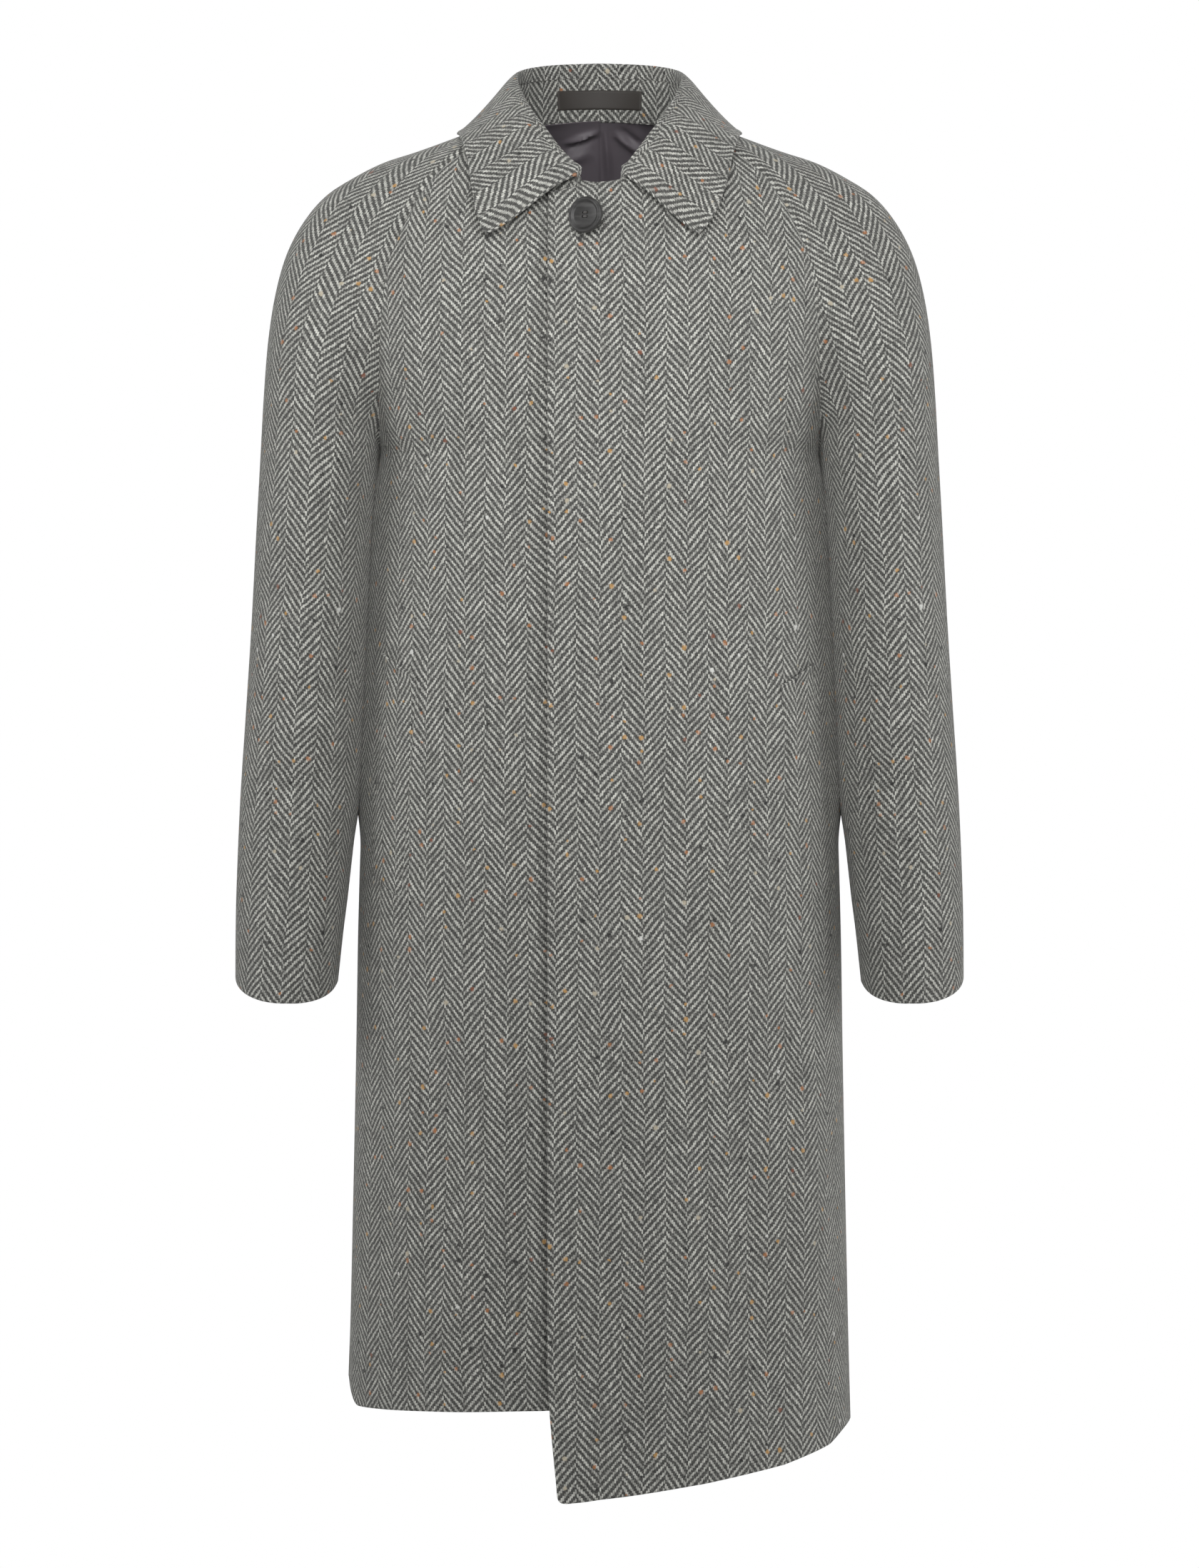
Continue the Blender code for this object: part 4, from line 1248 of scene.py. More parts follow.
def declared(cloth, row):
    """Hide the solid that a cloth piece stands for, found by its row of the table of cut sizes, and hang the
    piece on the body.
    """
    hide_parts(row.name)
    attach(cloth, BODY_NAME)
    return cloth


def cut_sizes(name):
    """A cloth piece's row of the table of cut sizes."""
    return next(row for row in CUTS if row.name == name)


def finish_named(name):
    """A finish that an earlier step has made."""
    material = bpy.data.materials.get(name)
    if material is None:
        raise RuntimeError(f"The finish {name} has to be made first")
    return material


def make_front(name, side, columns, rows, creases):
    """One front, with its lap edge and hem turned and its raglan and side seams sewn."""
    grid = spread_down(spread(front_form(side), columns), rows)
    grid = corner_rounded(grid, LAP_RADIUS)
    if side < 0:
        run = travel(grid, 1)
        grid = hem_rounded(grid, run[:, -1:] - run)
    normal = outward(grid, BODY_CORE)
    across = panel_across(grid, side)
    down = grain_down(grid, across, PANEL_LEVEL)
    out = edge_falls(grid, first=lapped, last=armhole(grid), top=sewn, bottom=turned)
    out = out + creased(side * across, down, creases)
    out = out + PRESS_FRONT * pressed_side(grid, np.abs(across - across[:, -1:]))
    if side < 0:
        across = across + UNDER_SHIFT
        down = down + UNDER_DROP
    return lay_cloth(name, grid, out, normal, across, down, CLOTH_WALL, TWEED, LINING)


def back_grain(grid):
    """Where the points of the back or its lining lie on the flat cloth, across from its middle and down."""
    across = panel_across(grid, 1)
    across = across - 0.5 * (across[:, :1] + across[:, -1:])
    return across, grain_down(grid, across, PANEL_LEVEL)


def make_back(columns, rows):
    """The back, sewn at the neck and at both sides, with its hem turned."""
    grid = spread_down(spread(back_form(), columns), rows)
    grid = hem_rounded(grid, travel(grid, 1))
    normal = outward(grid, BODY_CORE)
    across, down = back_grain(grid)
    out = edge_falls(grid, first=armhole(grid), last=armhole(grid), top=sewn, bottom=turned)
    out = out + creased(across, down, BACK_CREASES)
    out = out + pressed_side(grid, across[:, -1:] - np.abs(across))
    return lay_cloth("back", grid, out, normal, across, down, CLOTH_WALL, TWEED)


def closer(total, count, start):
    """Which of many grid lines to keep: close together at one place, and wider apart away from it."""
    share = np.sinh(LINING_PULL * np.linspace(start, 1, count)) / math.sinh(LINING_PULL)
    return np.round((share - start) / (1 - start) * (total - 1)).astype(int)


def make_lining(columns, rows):
    """The back lining, felled to the back inside, with a seam down its middle."""
    grid = spread_down(spread(back_form(), LINING_FINE * columns), LINING_FINE * rows)
    short = LINING_FINE * LINING_SHORT
    grid = grid[:-short, short:-short]
    grid = grid[closer(len(grid), rows, 0)][:, closer(grid.shape[1], columns, -1)]
    normal = -outward(grid, BODY_CORE)
    across, down = back_grain(grid)
    lift = CLOTH_WALL + LAY_GAP + LINING_WALL + LINING_PLEAT * (1 - np.tanh(across / LINING_PLEAT_WIDTH))
    lift = lift + creased(across, travel(grid, 0), LINING_CREASES) - creased(across, down, BACK_CREASES)
    return lay_cloth("lining_back", grid, lift, normal, across, down, LINING_WALL, LINING)


def sleeve_grain(grid, normal, side, ridge):
    """Where a sleeve's points lie on the flat cloth: the grain runs down the arm and leans out as it
    falls, and matches on both sides of the ridge."""
    lean = ARM_LEAN + (SHOULDER_LEAN - ARM_LEAN) * ease((grid[..., 2] - LEAN_FOOT) / (LEAN_TOP - LEAN_FOOT))
    fall = point(side * np.sin(lean), 0, -np.cos(lean))
    down_way = unit(fall - normal * dot(fall, normal))
    mirrored = np.where(np.arange(grid.shape[1]) <= ridge, 1.0, -1.0)[None, :, None]
    across_way = np.cross(normal, down_way) * mirrored
    return evened(grid, across_way, travel(grid, 1)), evened(grid, down_way, -grid[..., 2])


def evened(grid, way, start):
    """Values that rise along a field of directions as evenly as the form allows, from a first guess, by
    conjugate gradients."""
    steps = [np.diff(grid, axis=axis) for axis in (0, 1)]
    ways = [0.5 * (way[1:] + way[:-1]), 0.5 * (way[:, 1:] + way[:, :-1])]
    weights = [1 / np.maximum(length(step)[..., 0], EVEN_STEP) for step in steps]
    wanted = [dot(step, along)[..., 0] for step, along in zip(steps, ways)]

    def gathered(down, across, sign=-1.0):
        total = np.zeros(grid.shape[:2])
        total[1:] += down
        total[:-1] += sign * down
        total[:, 1:] += across
        total[:, :-1] += sign * across
        return total

    def pulled(values):
        return gathered(weights[0] * np.diff(values, axis=0), weights[1] * np.diff(values, axis=1))

    ease_by = 1 / gathered(weights[0], weights[1], sign=1.0)
    values = start.copy()
    left = gathered(weights[0] * wanted[0], weights[1] * wanted[1]) - pulled(values)
    search = ease_by * left
    size = np.sum(left * search)
    for _ in range(EVEN_TURNS):
        pull = pulled(search)
        share = size / np.sum(search * pull)
        values += share * search
        left -= share * pull
        eased = ease_by * left
        before = size
        size = np.sum(left * eased)
        search = eased + search * (size / before)
    return values


def make_sleeve(name, side, half_columns, rows):
    """One sleeve: sewn along the raglan seams, closed under the arm, turned at the cuff."""
    form = sleeve_form(side)
    front = spread(form[:, :TRACE_HALF_SLEEVE + 1], half_columns, last=False)
    back = spread(form[:, TRACE_HALF_SLEEVE:], half_columns, first=False)
    ridge = front.shape[1] - 1
    form = np.concatenate([front, back[:, 1:]], axis=1)
    raglan = spread_down(form[:TRACE_RAGLAN + 1], rows // 2, last=False)
    tube = spread_down(form[TRACE_RAGLAN:], rows - rows // 2, first=False)
    grid = cuff_tilted(np.concatenate([raglan, tube[1:]]), side)
    normal = outward(grid, mirrored(np.array(ARM_CORE), side))
    round_arm = travel(grid, 1)
    round_arm = round_arm - round_arm[:, ridge:ridge + 1]
    near_seam = np.minimum(round_arm - round_arm[:, :1], round_arm[:, -1:] - round_arm)
    across, down = sleeve_grain(grid, normal, side, ridge)
    out = edge_falls(grid, first=armhole(grid), last=armhole(grid), top=sewn, bottom=turned)
    out = out + creased(round_arm, down, SLEEVE_CREASES) + pressed_side(grid, near_seam)
    return lay_cloth(name, grid, out, normal, across, down, CLOTH_WALL, TWEED, LINING)


def corner_rounded(grid, radius, last=False):
    """The grid with the corner at its foot rounded, beside its first or its last edge."""
    across = travel(grid, 1)
    down = travel(grid, 0)
    near = np.clip(1 - (across[:, -1:] - across if last else across) / radius, 0, 1)
    low = np.clip(1 - (down[-1:] - down) / radius, 0, 1)
    in_way = unit(np.gradient(grid, axis=1)) * (-1 if last else 1)
    up_way = -unit(np.gradient(grid, axis=0))
    moved_in = radius * near * (1 - np.sqrt(1 - 0.5 * low ** 2))
    moved_up = radius * low * (1 - np.sqrt(1 - 0.5 * near ** 2))
    return grid + in_way * moved_in[..., None] + up_way * moved_up[..., None]


def make_leaf(columns, rows):
    """The collar's leaf: over the roll and down, with its three free edges turned."""
    grid = spread_down(spread(leaf_form().transpose(1, 0, 2), columns), rows)
    grid = corner_rounded(corner_rounded(grid, TIP_RADIUS), TIP_RADIUS, last=True)
    normal = outward(grid, NECK_CORE)
    middle = len(grid) // 2
    run = travel(grid, 1)
    across = run[middle:middle + 1]
    across = np.repeat(across - 0.5 * across[:, -1:], len(grid), axis=0)
    down = travel(grid, 0)
    out = edge_falls(grid, first=bold_edge, last=bold_edge, bottom=bold_edge)
    ahead = ease((-LEAF_LIFT_AHEAD - grid[..., 1]) / LEAF_LIFT_AHEAD)
    out = out + LEAF_LIFT * ahead * ease((down - LEAF_LIFT_START) / LEAF_LIFT_START)
    gape = bell(run, GAPE_WIDTH) + GAPE_LEFT * bell(run[:, -1:] - run, GAPE_WIDTH)
    out = out + GAPE * gape * bell(down - GAPE_AT, GAPE_DEPTH)
    return lay_cloth("collar_leaf", grid, out, normal, across, down, LEAF_WALL, TWEED)


def make_stand(columns, rows):
    """The collar's stand, seen inside the neck."""
    form = stand_form(STAND_END, STAND_LOW, STAND_HIGH)
    return make_stand_sheet("collar_stand", form, columns, rows, STAND_WALL, COLLAR_WALL, TWEED, tucked)


def make_label(columns, rows):
    """The bare woven label on the stand."""
    form = stand_form(LABEL_END, LABEL_LOW, LABEL_HIGH)
    lift = STAND_WALL + LAY_GAP + LABEL_WALL
    return make_stand_sheet("label", form, columns, rows, lift, LABEL_WALL, LABEL, turned)


def make_stand_sheet(name, form, columns, rows, lift, wall, finish, top):
    """A sheet that follows the stand, lifted off its hidden face towards the neck."""
    grid = spread_down(spread(form[:, ::-1].transpose(1, 0, 2), columns), rows)
    normal = -outward(grid, NECK_CORE)
    across = travel(grid, 1)
    across = 0.5 * across[:, -1:] - across
    down = -travel(grid, 0)
    out = lift + edge_falls(grid, first=turned, last=turned, top=top, bottom=turned)
    return lay_cloth(name, grid, out, normal, across, down, wall, finish)


def welt_form(welt):
    """The front's face under a welt, from the welt's top to its foot and from its front to the side, and
    how far the welt's front edge lies from the middle of the coat along the cloth."""
    down = np.linspace(0, 1, TRACE_WELT_ROWS)[:, None]
    share = np.linspace(0, 1, TRACE_WELT)[None, :]
    z = welt.top_z + (welt.bottom_z - welt.top_z) * down + WELT_TOP_RISE * share
    heights = np.array([row.z for row in BODY])
    t = UNDERARM + np.interp(-z, -heights, np.arange(len(heights)))
    controls = front_row(t, welt.side < 0)
    curves = np.stack([bezier(controls, u) for u in np.linspace(0, 1, TRACE_PANEL)], axis=2)
    start_x = (welt.top_x + (welt.bottom_x - welt.top_x) * down) * MM
    points = np.empty(z.shape + (3,))
    starts = np.empty(len(down))
    for i, k in np.ndindex(z.shape):
        curve = curves[i, k]
        along = travel(curve[None], 1)[0]
        start = np.interp(start_x[i, 0], curve[:, 0], along)
        points[i, k] = [np.interp(start + WELT_WIDTH * share[0, k], along, curve[:, n]) for n in range(3)]
        starts[i] = start
    points = lowered(points, hem_drop(welt.side, points[..., 0]))
    return mirrored(points, welt.side), starts


def make_welt(welt, columns, rows):
    """A pocket welt on its front: its top stands open and its other edges are sewn down."""
    form, starts = welt_form(welt)
    grid = spread_down(spread(form, columns), rows)
    normal = outward(grid, BODY_CORE)
    start = np.interp(-grid[:, 0, 2], -form[:, 0, 2], starts)
    across = welt.side * (start[:, None] + travel(grid, 1)) + WELT_SHIFT
    down = WELT_DROP - grid[..., 2]
    out = WELT_LIFT + edge_falls(grid, first=felled, last=felled, top=stood, bottom=felled)
    return lay_cloth(welt.name, grid, out, normal, across, down, WELT_SHELL, TWEED)


def make_button(sizes):
    """The throat button: a dished disc with four holes, turned to lie on the front."""
    clear_selection()
    bpy.ops.mesh.primitive_cylinder_add(vertices=BUTTON_SIDES, radius=sizes.radius, depth=BUTTON_THICKNESS)
    button = bpy.context.active_object
    button.name = "button"
    button.data.name = "button"
    bpy.ops.object.mode_set(mode="EDIT")
    bpy.ops.mesh.select_all(action="DESELECT")
    bpy.ops.object.mode_set(mode="OBJECT")
    for face in button.data.polygons:
        face.select = face.normal.z > FACE_UP
    bpy.ops.object.mode_set(mode="EDIT")
    bpy.ops.mesh.inset(thickness=sizes.rim, depth=0.0)
    for across, down in DISH_STEPS:
        bpy.ops.mesh.inset(thickness=across * sizes.rim, depth=-down * sizes.dish)
    bpy.ops.object.mode_set(mode="OBJECT")
    round_edges = button.modifiers.new("Round", "BEVEL")
    round_edges.width = BUTTON_ROUND
    round_edges.segments = BUTTON_ROUND_STEPS
    round_edges.limit_method = "ANGLE"
    round_edges.angle_limit = SHARP_BUTTON
    bpy.ops.object.modifier_apply(modifier=round_edges.name)
    for k in range(BUTTON_HOLES):
        turn = Matrix.Rotation(2 * math.pi * (k + 0.5) / BUTTON_HOLES, 4, "Z")
        pierce(button, turn @ Vector((sizes.hole_spacing, 0, 0)), sizes.hole_radius)
    bpy.ops.object.shade_smooth_by_angle(angle=SMOOTH_BUTTON)
    button.matrix_world = button_place()
    bpy.ops.object.transform_apply(location=True, rotation=True, scale=True)
    button.data.materials.append(finish_named(HORN))
    return button


def pierce(body, at, radius):
    """Drill a hole down through a piece that lies flat."""
    clear_selection()
    bpy.ops.mesh.primitive_cylinder_add(vertices=DRILL_SIDES, radius=radius, depth=DRILL_LENGTH, location=at)
    drill = bpy.context.active_object
    pick_out(body)
    hole = body.modifiers.new("Hole", "BOOLEAN")
    hole.object = drill
    hole.solver = "EXACT"
    bpy.ops.object.modifier_apply(modifier=hole.name)
    bpy.data.objects.remove(drill)


def thread_tube(path, radius):
    """The points and faces of a round thread along a path."""
    path = np.array(path, float)
    way = unit(np.gradient(path, axis=0))
    side = unit(np.cross(way, np.array(THREAD_AXIS)))
    up = np.cross(way, side)
    turns = np.linspace(0, 2 * math.pi, THREAD_SIDES, endpoint=False)
    rings = [centre + radius * (math.cos(a) * x + math.sin(a) * y) for centre, x, y in zip(path, side, up)
             for a in turns]
    faces = []
    for i in range(len(path) - 1):
        for k in range(THREAD_SIDES):
            here = i * THREAD_SIDES + k
            ahead = i * THREAD_SIDES + (k + 1) % THREAD_SIDES
            faces.append((here, ahead, ahead + THREAD_SIDES, here + THREAD_SIDES))
    last = (len(path) - 1) * THREAD_SIDES
    faces.append(tuple(range(THREAD_SIDES))[::-1])
    faces.append(tuple(last + k for k in range(THREAD_SIDES)))
    return rings, faces


def make_threads(name, paths, radius):
    """Sewing threads along several paths, as one piece."""
    points = []
    faces = []
    for path in paths:
        rings, quads = thread_tube(path, radius)
        faces += [tuple(len(points) + k for k in quad) for quad in quads]
        points += rings
    mesh = bpy.data.meshes.new(name)
    mesh.from_pydata(points, [], faces)
    mesh.materials.append(finish_named(THREAD))
    threads = bpy.data.objects.new(name, mesh)
    bpy.context.collection.objects.link(threads)
    pick_out(threads)
    edit_all(bpy.ops.mesh.normals_make_consistent, inside=False)
    bpy.ops.object.shade_smooth_by_angle(angle=SMOOTH_THREAD)
    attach(threads, BODY_NAME)
    return threads


def button_threads(sizes):
    """Paths of the strands that cross the button's dish between its holes."""
    floor = 0.5 * BUTTON_THICKNESS - sizes.dish
    reach = sizes.hole_spacing * math.sqrt(0.5)
    place = button_place()
    paths = []
    for y in (-reach, reach):
        for shift in (-STRAND_SHIFT, STRAND_SHIFT):
            arch = [(reach * math.cos(a), y + shift, floor + STRAND_RISE * math.sin(a) - STRAND_SINK)
                    for a in np.linspace(-STRAND_BEND, math.pi + STRAND_BEND, STRAND_POINTS)]
            paths.append([tuple(place @ Vector(p)) for p in arch])
    return paths


def buttonhole_threads():
    """Paths of the stitches along the end of the buttonhole that shows below the button."""
    start = np.array(HOLE_START) * MM
    end = np.array(HOLE_END) * MM
    run = (end - start) / np.linalg.norm(end - start)
    cross = np.array([-run[1], run[0]])
    paths = []
    for share in np.linspace(0, 1, HOLE_STITCHES):
        path = []
        for reach, rise in STITCH_PATH:
            x, z = start + (end - start) * share + cross * HOLE_REACH * reach
            path.append(mirrored(front_at(np.abs(x), z), np.sign(x)) - np.array([0, rise, 0]))
        paths.append(path)
    return paths


def button_place():
    """Where the button lies: on the CAD button's middle, turned and leaning as the front does."""
    low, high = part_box("button")
    middle = 0.5 * (Vector(low) + Vector(high))
    upright = Matrix.Rotation(math.radians(90) - BUTTON_LEAN, 4, "X")
    return Matrix.Translation(middle) @ Matrix.Rotation(-BUTTON_TURN, 4, "Z") @ upright


def set_stage(studio):
    """The pale floor, the soft lights and the camera straight in front."""
    clear_selection()
    bpy.ops.mesh.primitive_plane_add(size=studio.floor_size, location=(0, 0, studio.floor_height))
    floor = bpy.context.active_object
    floor.name = "floor"
    bpy.ops.object.transform_apply(location=True, rotation=True, scale=True)
    floor.data.materials.append(floor_finish("pale_floor", studio.floor_colour))
    for row in LIGHTS:
        clear_selection()
        bpy.ops.object.light_add(type="AREA", location=row.place)
        light = bpy.context.active_object
        light.name = row.name
        light.data.shape = "RECTANGLE"
        light.data.size = row.width
        light.data.size_y = row.height
        light.data.energy = row.power * studio.brightness
        light.visible_camera = False
        light.rotation_euler = (Vector(row.aim) - Vector(row.place)).to_track_quat("-Z", "Y").to_euler()
    set_world(studio)
    bpy.context.scene.view_settings.view_transform = "Standard"
    clear_selection()
    place = (0, -studio.distance, studio.eye_height)
    bpy.ops.object.camera_add(location=place, rotation=(math.radians(90), 0, 0))
    camera = bpy.context.active_object
    camera.name = "camera"
    camera.data.sensor_width = SENSOR_WIDTH
    camera.data.lens = studio.lens
    camera.data.dof.use_dof = False
    bpy.context.scene.camera = camera


def set_world(studio):
    """White surroundings, softer as light than as backdrop."""
    world = bpy.data.worlds.new("studio")
    bpy.context.scene.world = world
    world.use_nodes = True
    tree = world.node_tree
    backdrop = tree.nodes["Background"]
    backdrop.inputs["Color"].default_value = (1.0, 1.0, 1.0, 1.0)
    backdrop.inputs["Strength"].default_value = 1.0
    glow = tree.nodes.new("ShaderNodeBackground")
    glow.inputs["Color"].default_value = (*studio.glow_colour, 1.0)
    glow.inputs["Strength"].default_value = studio.glow
    path = tree.nodes.new("ShaderNodeLightPath")
    mix = tree.nodes.new("ShaderNodeMixShader")
    tree.links.new(path.outputs["Is Camera Ray"], mix.inputs[0])
    tree.links.new(glow.outputs[0], mix.inputs[1])
    tree.links.new(backdrop.outputs[0], mix.inputs[2])
    tree.links.new(mix.outputs[0], tree.nodes["World Output"].inputs[0])


def length_property(name, description, default):
    """A length in metres."""
    return bpy.props.FloatProperty(
        name=name, description=description, default=default, precision=5, subtype="DISTANCE", unit="LENGTH")


def share_property(name, description, default):
    """A plain number."""
    return bpy.props.FloatProperty(name=name, description=description, default=default, precision=3)


def colour_property(name, description, default):
    """A colour."""
    return bpy.props.FloatVectorProperty(
        name=name, description=description, default=default, size=3, min=0.0, max=1.0, subtype="COLOR")


def count_property(name, description, default):
    """A whole number."""
    return bpy.props.IntProperty(name=name, description=description, default=default, min=4)


class CoatCloth(bpy.types.PropertyGroup):
    """The weave and how finely each piece of cloth is made."""

    column_width: length_property("Column width", "One column of the herringbone", 0.01656)
    pick_height: length_property("Pick height", "One pick of the weft", 0.00158)
    yarn_relief: length_property("Yarn relief", "How far the yarns stand out", 0.0004)
    nep_spacing: length_property("Nep spacing", "The cell in which one nep may lie", 0.0112)
    nep_share: share_property("Nep share", "The share of cells with a nep", 0.23)
    cloud: share_property("Cloud", "How far the tone drifts over the cloth", 0.30)
    streak: share_property("Streaks", "How much the tone changes between threads along the cloth", 0.45)
    nap: share_property("Nap", "The soft sheen of the raised fibres", 0.25)
    front_columns: count_property("Front columns", "Quads across a front", 72)
    back_columns: count_property("Back columns", "Quads across the back", 112)
    body_rows: count_property("Body rows", "Quads down the fronts and the back", 245)
    sleeve_columns: count_property("Sleeve columns", "Quads across half a sleeve", 46)
    sleeve_rows: count_property("Sleeve rows", "Quads down a sleeve", 170)
    collar_columns: count_property("Collar columns", "Quads along the collar's leaf", 190)
    collar_rows: count_property("Collar rows", "Quads across the collar's leaf", 36)
    stand_columns: count_property("Stand columns", "Quads along the collar's stand", 95)
    stand_rows: count_property("Stand rows", "Quads up the collar's stand", 12)
    label_columns: count_property("Label columns", "Quads along the label", 30)
    label_rows: count_property("Label rows", "Quads up the label", 12)
    welt_columns: count_property("Welt columns", "Quads across a welt", 14)
    welt_rows: count_property("Welt rows", "Quads down a welt", 50)


class CoatColours(bpy.types.PropertyGroup):
    """The yarns, the neps and the trim."""

    light_yarn: colour_property("Light yarn", "The pale warp", (0.50, 0.50, 0.464))
    dark_yarn: colour_property("Dark yarn", "The dark weft", (0.088, 0.088, 0.083))
    nep_rust: colour_property("Rust nep", "Rust flecks", (0.58, 0.23, 0.08))
    nep_amber: colour_property("Amber nep", "Amber flecks", (0.66, 0.37, 0.12))
    nep_cream: colour_property("Cream nep", "Cream flecks", (0.62, 0.55, 0.42))
    nep_red: colour_property("Red nep", "Red-brown flecks", (0.26, 0.09, 0.05))
    nep_black: colour_property("Black nep", "Black flecks", (0.03, 0.03, 0.03))
    nep_white: colour_property("White nep", "White flecks", (0.80, 0.80, 0.77))
    lining: colour_property("Lining", "The satin lining", (0.135, 0.118, 0.133))
    label: colour_property("Label", "The woven label", (0.052, 0.046, 0.041))
    horn: colour_property("Horn", "The button", (0.046, 0.045, 0.044))
    thread: colour_property("Thread", "The sewing thread", (0.13, 0.125, 0.12))


class CoatButton(bpy.types.PropertyGroup):
    """The sizes of the button's face."""

    radius: length_property("Radius", "Half the button's width", 0.0137)
    rim: length_property("Rim", "The width of the raised rim", 0.0026)
    dish: length_property("Dish", "How deep the middle is dished", 0.0012)
    hole_radius: length_property("Hole radius", "Half a hole's width", 0.0011)
    hole_spacing: length_property("Hole spacing", "From the middle to each hole", 0.0021)


class CoatStudio(bpy.types.PropertyGroup):
    """The floor, the light and the camera."""

    floor_height: length_property("Floor height", "The floor below the hanging coat", -1.5)
    floor_size: length_property("Floor size", "Each side of the floor", 5.0)
    floor_colour: colour_property("Floor colour", "The pale floor", (0.86, 0.86, 0.86))
    brightness: share_property("Brightness", "The power of all the lights", 1.0)
    glow: share_property("Glow", "The light of the white surroundings", 0.112)
    glow_colour: colour_property("Glow colour", "The colour of the surroundings", (1.0, 1.0, 1.0))
    distance: length_property("Distance", "From the camera to the coat", 4.8)
    eye_height: length_property("Eye height", "The camera's height", -0.4986)
    lens: share_property("Lens", "The focal length in millimetres", 143.0)


SENSOR_WIDTH = 36.0
LightRow = namedtuple("LightRow", "name place aim width height power")
LIGHTS = listed(
    LightRow,
    ("front_light", (0.0, -1.25, 0.12), (0.0, 0.0, -0.25), 1.0, 0.8, 8.8),
    ("high_light", (0.0, -1.25, 0.65), (0.0, 0.0, -0.20), 1.0, 0.6, 6.0),
    ("left_fill", (2.2, -0.40, -0.3), (0.0, 0.0, -0.35), 1.2, 0.9, 15.3),
    ("right_fill", (-2.0, -0.50, 0.25), (0.0, 0.0, -0.30), 1.1, 0.9, 12.5),
    ("back_fill", (0.0, 2.3, 0.3), (0.0, 0.0, -0.45), 1.6, 1.4, 22.0),
)


class COAT_OT_finishes(bpy.types.Operator):
    """Make the tweed, the satins, the horn and the thread"""

    bl_idname = "coat.finishes"
    bl_label = "Finishes"

    def execute(self, context):
        colours = context.scene.coat_colours
        tweed_finish(context.scene.coat_cloth, colours)
        satin_finish(LINING, colours.lining, rib=0.0006, roughness=0.38, sheen=0.15)
        satin_finish(LABEL, colours.label, rib=0.0008, roughness=0.50, sheen=0.10)
        horn_finish(HORN, colours.horn)
        thread_finish(THREAD, colours.thread)
        return {"FINISHED"}


class COAT_OT_fronts(bpy.types.Operator):
    """Make both fronts, the left lapping over the right"""

    bl_idname = "coat.fronts"
    bl_label = "Fronts"

    def execute(self, context):
        cloth = context.scene.coat_cloth
        for name, side, creases in (("front_left", 1, LEFT_CREASES), ("front_right", -1, RIGHT_CREASES)):
            declared(make_front(name, side, cloth.front_columns, cloth.body_rows, creases), cut_sizes(name))
        return {"FINISHED"}


class COAT_OT_back(bpy.types.Operator):
    """Make the back and its lining"""

    bl_idname = "coat.back"
    bl_label = "Back and Lining"

    def execute(self, context):
        cloth = context.scene.coat_cloth
        declared(make_back(cloth.back_columns, cloth.body_rows), cut_sizes("back"))
        declared(make_lining(cloth.back_columns, cloth.body_rows), cut_sizes("lining_back"))
        return {"FINISHED"}


class COAT_OT_sleeves(bpy.types.Operator):
    """Make both raglan sleeves"""

    bl_idname = "coat.sleeves"
    bl_label = "Sleeves"

    def execute(self, context):
        cloth = context.scene.coat_cloth
        for name, side in (("sleeve_left", 1), ("sleeve_right", -1)):
            declared(make_sleeve(name, side, cloth.sleeve_columns, cloth.sleeve_rows), cut_sizes(name))
        return {"FINISHED"}


class COAT_OT_collar(bpy.types.Operator):
    """Make the collar's stand and leaf, and the label on the stand"""

    bl_idname = "coat.collar"
    bl_label = "Collar and Label"

    def execute(self, context):
        cloth = context.scene.coat_cloth
        declared(make_stand(cloth.stand_columns, cloth.stand_rows), cut_sizes("collar_stand"))
        declared(make_leaf(cloth.collar_columns, cloth.collar_rows), cut_sizes("collar_leaf"))
        declared(make_label(cloth.label_columns, cloth.label_rows), cut_sizes("label"))
        return {"FINISHED"}


class COAT_OT_welts(bpy.types.Operator):
    """Make the pocket welts"""

    bl_idname = "coat.welts"
    bl_label = "Pocket Welts"

    def execute(self, context):
        cloth = context.scene.coat_cloth
        for welt in WELTS:
            declared(make_welt(welt, cloth.welt_columns, cloth.welt_rows), cut_sizes(welt.name))
        return {"FINISHED"}


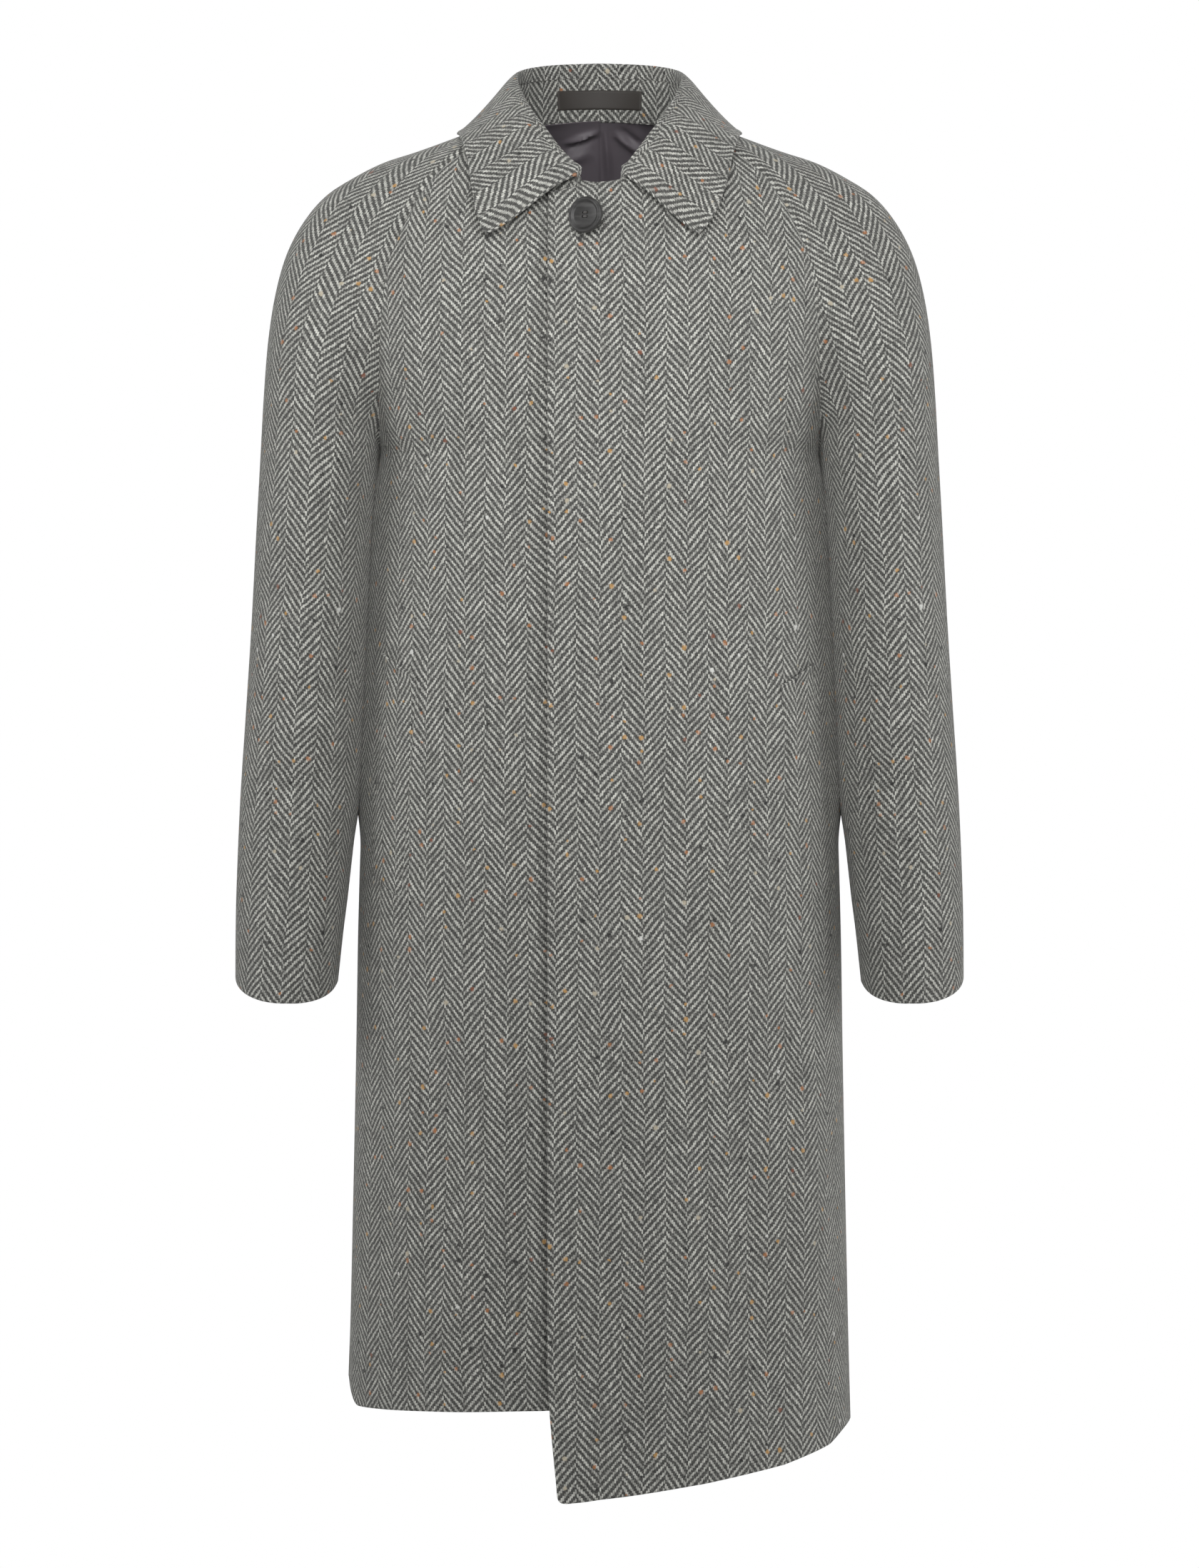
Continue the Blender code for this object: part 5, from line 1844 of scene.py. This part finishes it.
class COAT_OT_button(bpy.types.Operator):
    """Make the throat button"""

    bl_idname = "coat.button"
    bl_label = "Button"

    def execute(self, context):
        sizes = context.scene.coat_button
        button = make_button(sizes)
        make_threads("button_thread", button_threads(sizes), STRAND_RADIUS)
        make_threads("buttonhole_stitches", buttonhole_threads(), STITCH_RADIUS)
        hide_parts("button")
        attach(button, BODY_NAME)
        return {"FINISHED"}


class COAT_OT_stage(bpy.types.Operator):
    """Set the floor, the lights and the camera"""

    bl_idname = "coat.stage"
    bl_label = "Stage"

    def execute(self, context):
        set_stage(context.scene.coat_studio)
        return {"FINISHED"}


STEPS = (COAT_OT_finishes, COAT_OT_fronts, COAT_OT_back, COAT_OT_sleeves, COAT_OT_collar, COAT_OT_welts,
         COAT_OT_button, COAT_OT_stage)
GROUPS = {"coat_cloth": CoatCloth, "coat_colours": CoatColours, "coat_button": CoatButton,
          "coat_studio": CoatStudio}


class COAT_PT_panel(bpy.types.Panel):
    """The coat's steps and settings in the sidebar"""

    bl_label = "Coat"
    bl_idname = "COAT_PT_panel"
    bl_space_type = "VIEW_3D"
    bl_region_type = "UI"
    bl_category = "Coat"

    def draw(self, context):
        for step in STEPS:
            self.layout.operator(step.bl_idname)
        for name, group in GROUPS.items():
            box = self.layout.box()
            for key in group.__annotations__:
                box.prop(getattr(context.scene, name), key)


def register():
    """Add the coat's settings, steps and panel."""
    for name, group in GROUPS.items():
        bpy.utils.register_class(group)
        setattr(bpy.types.Scene, name, bpy.props.PointerProperty(type=group))
    for step in STEPS:
        bpy.utils.register_class(step)
    bpy.utils.register_class(COAT_PT_panel)


def unregister():
    """Take the panel, steps and settings away again."""
    bpy.utils.unregister_class(COAT_PT_panel)
    for step in reversed(STEPS):
        bpy.utils.unregister_class(step)
    for name, group in reversed(GROUPS.items()):
        delattr(bpy.types.Scene, name)
        bpy.utils.unregister_class(group)


def main():
    """Make every piece in order."""
    register()
    bpy.ops.coat.finishes()
    bpy.ops.coat.fronts()
    bpy.ops.coat.back()
    bpy.ops.coat.sleeves()
    bpy.ops.coat.collar()
    bpy.ops.coat.welts()
    bpy.ops.coat.button()
    bpy.ops.coat.stage()


if __name__ == "__main__":
    main()
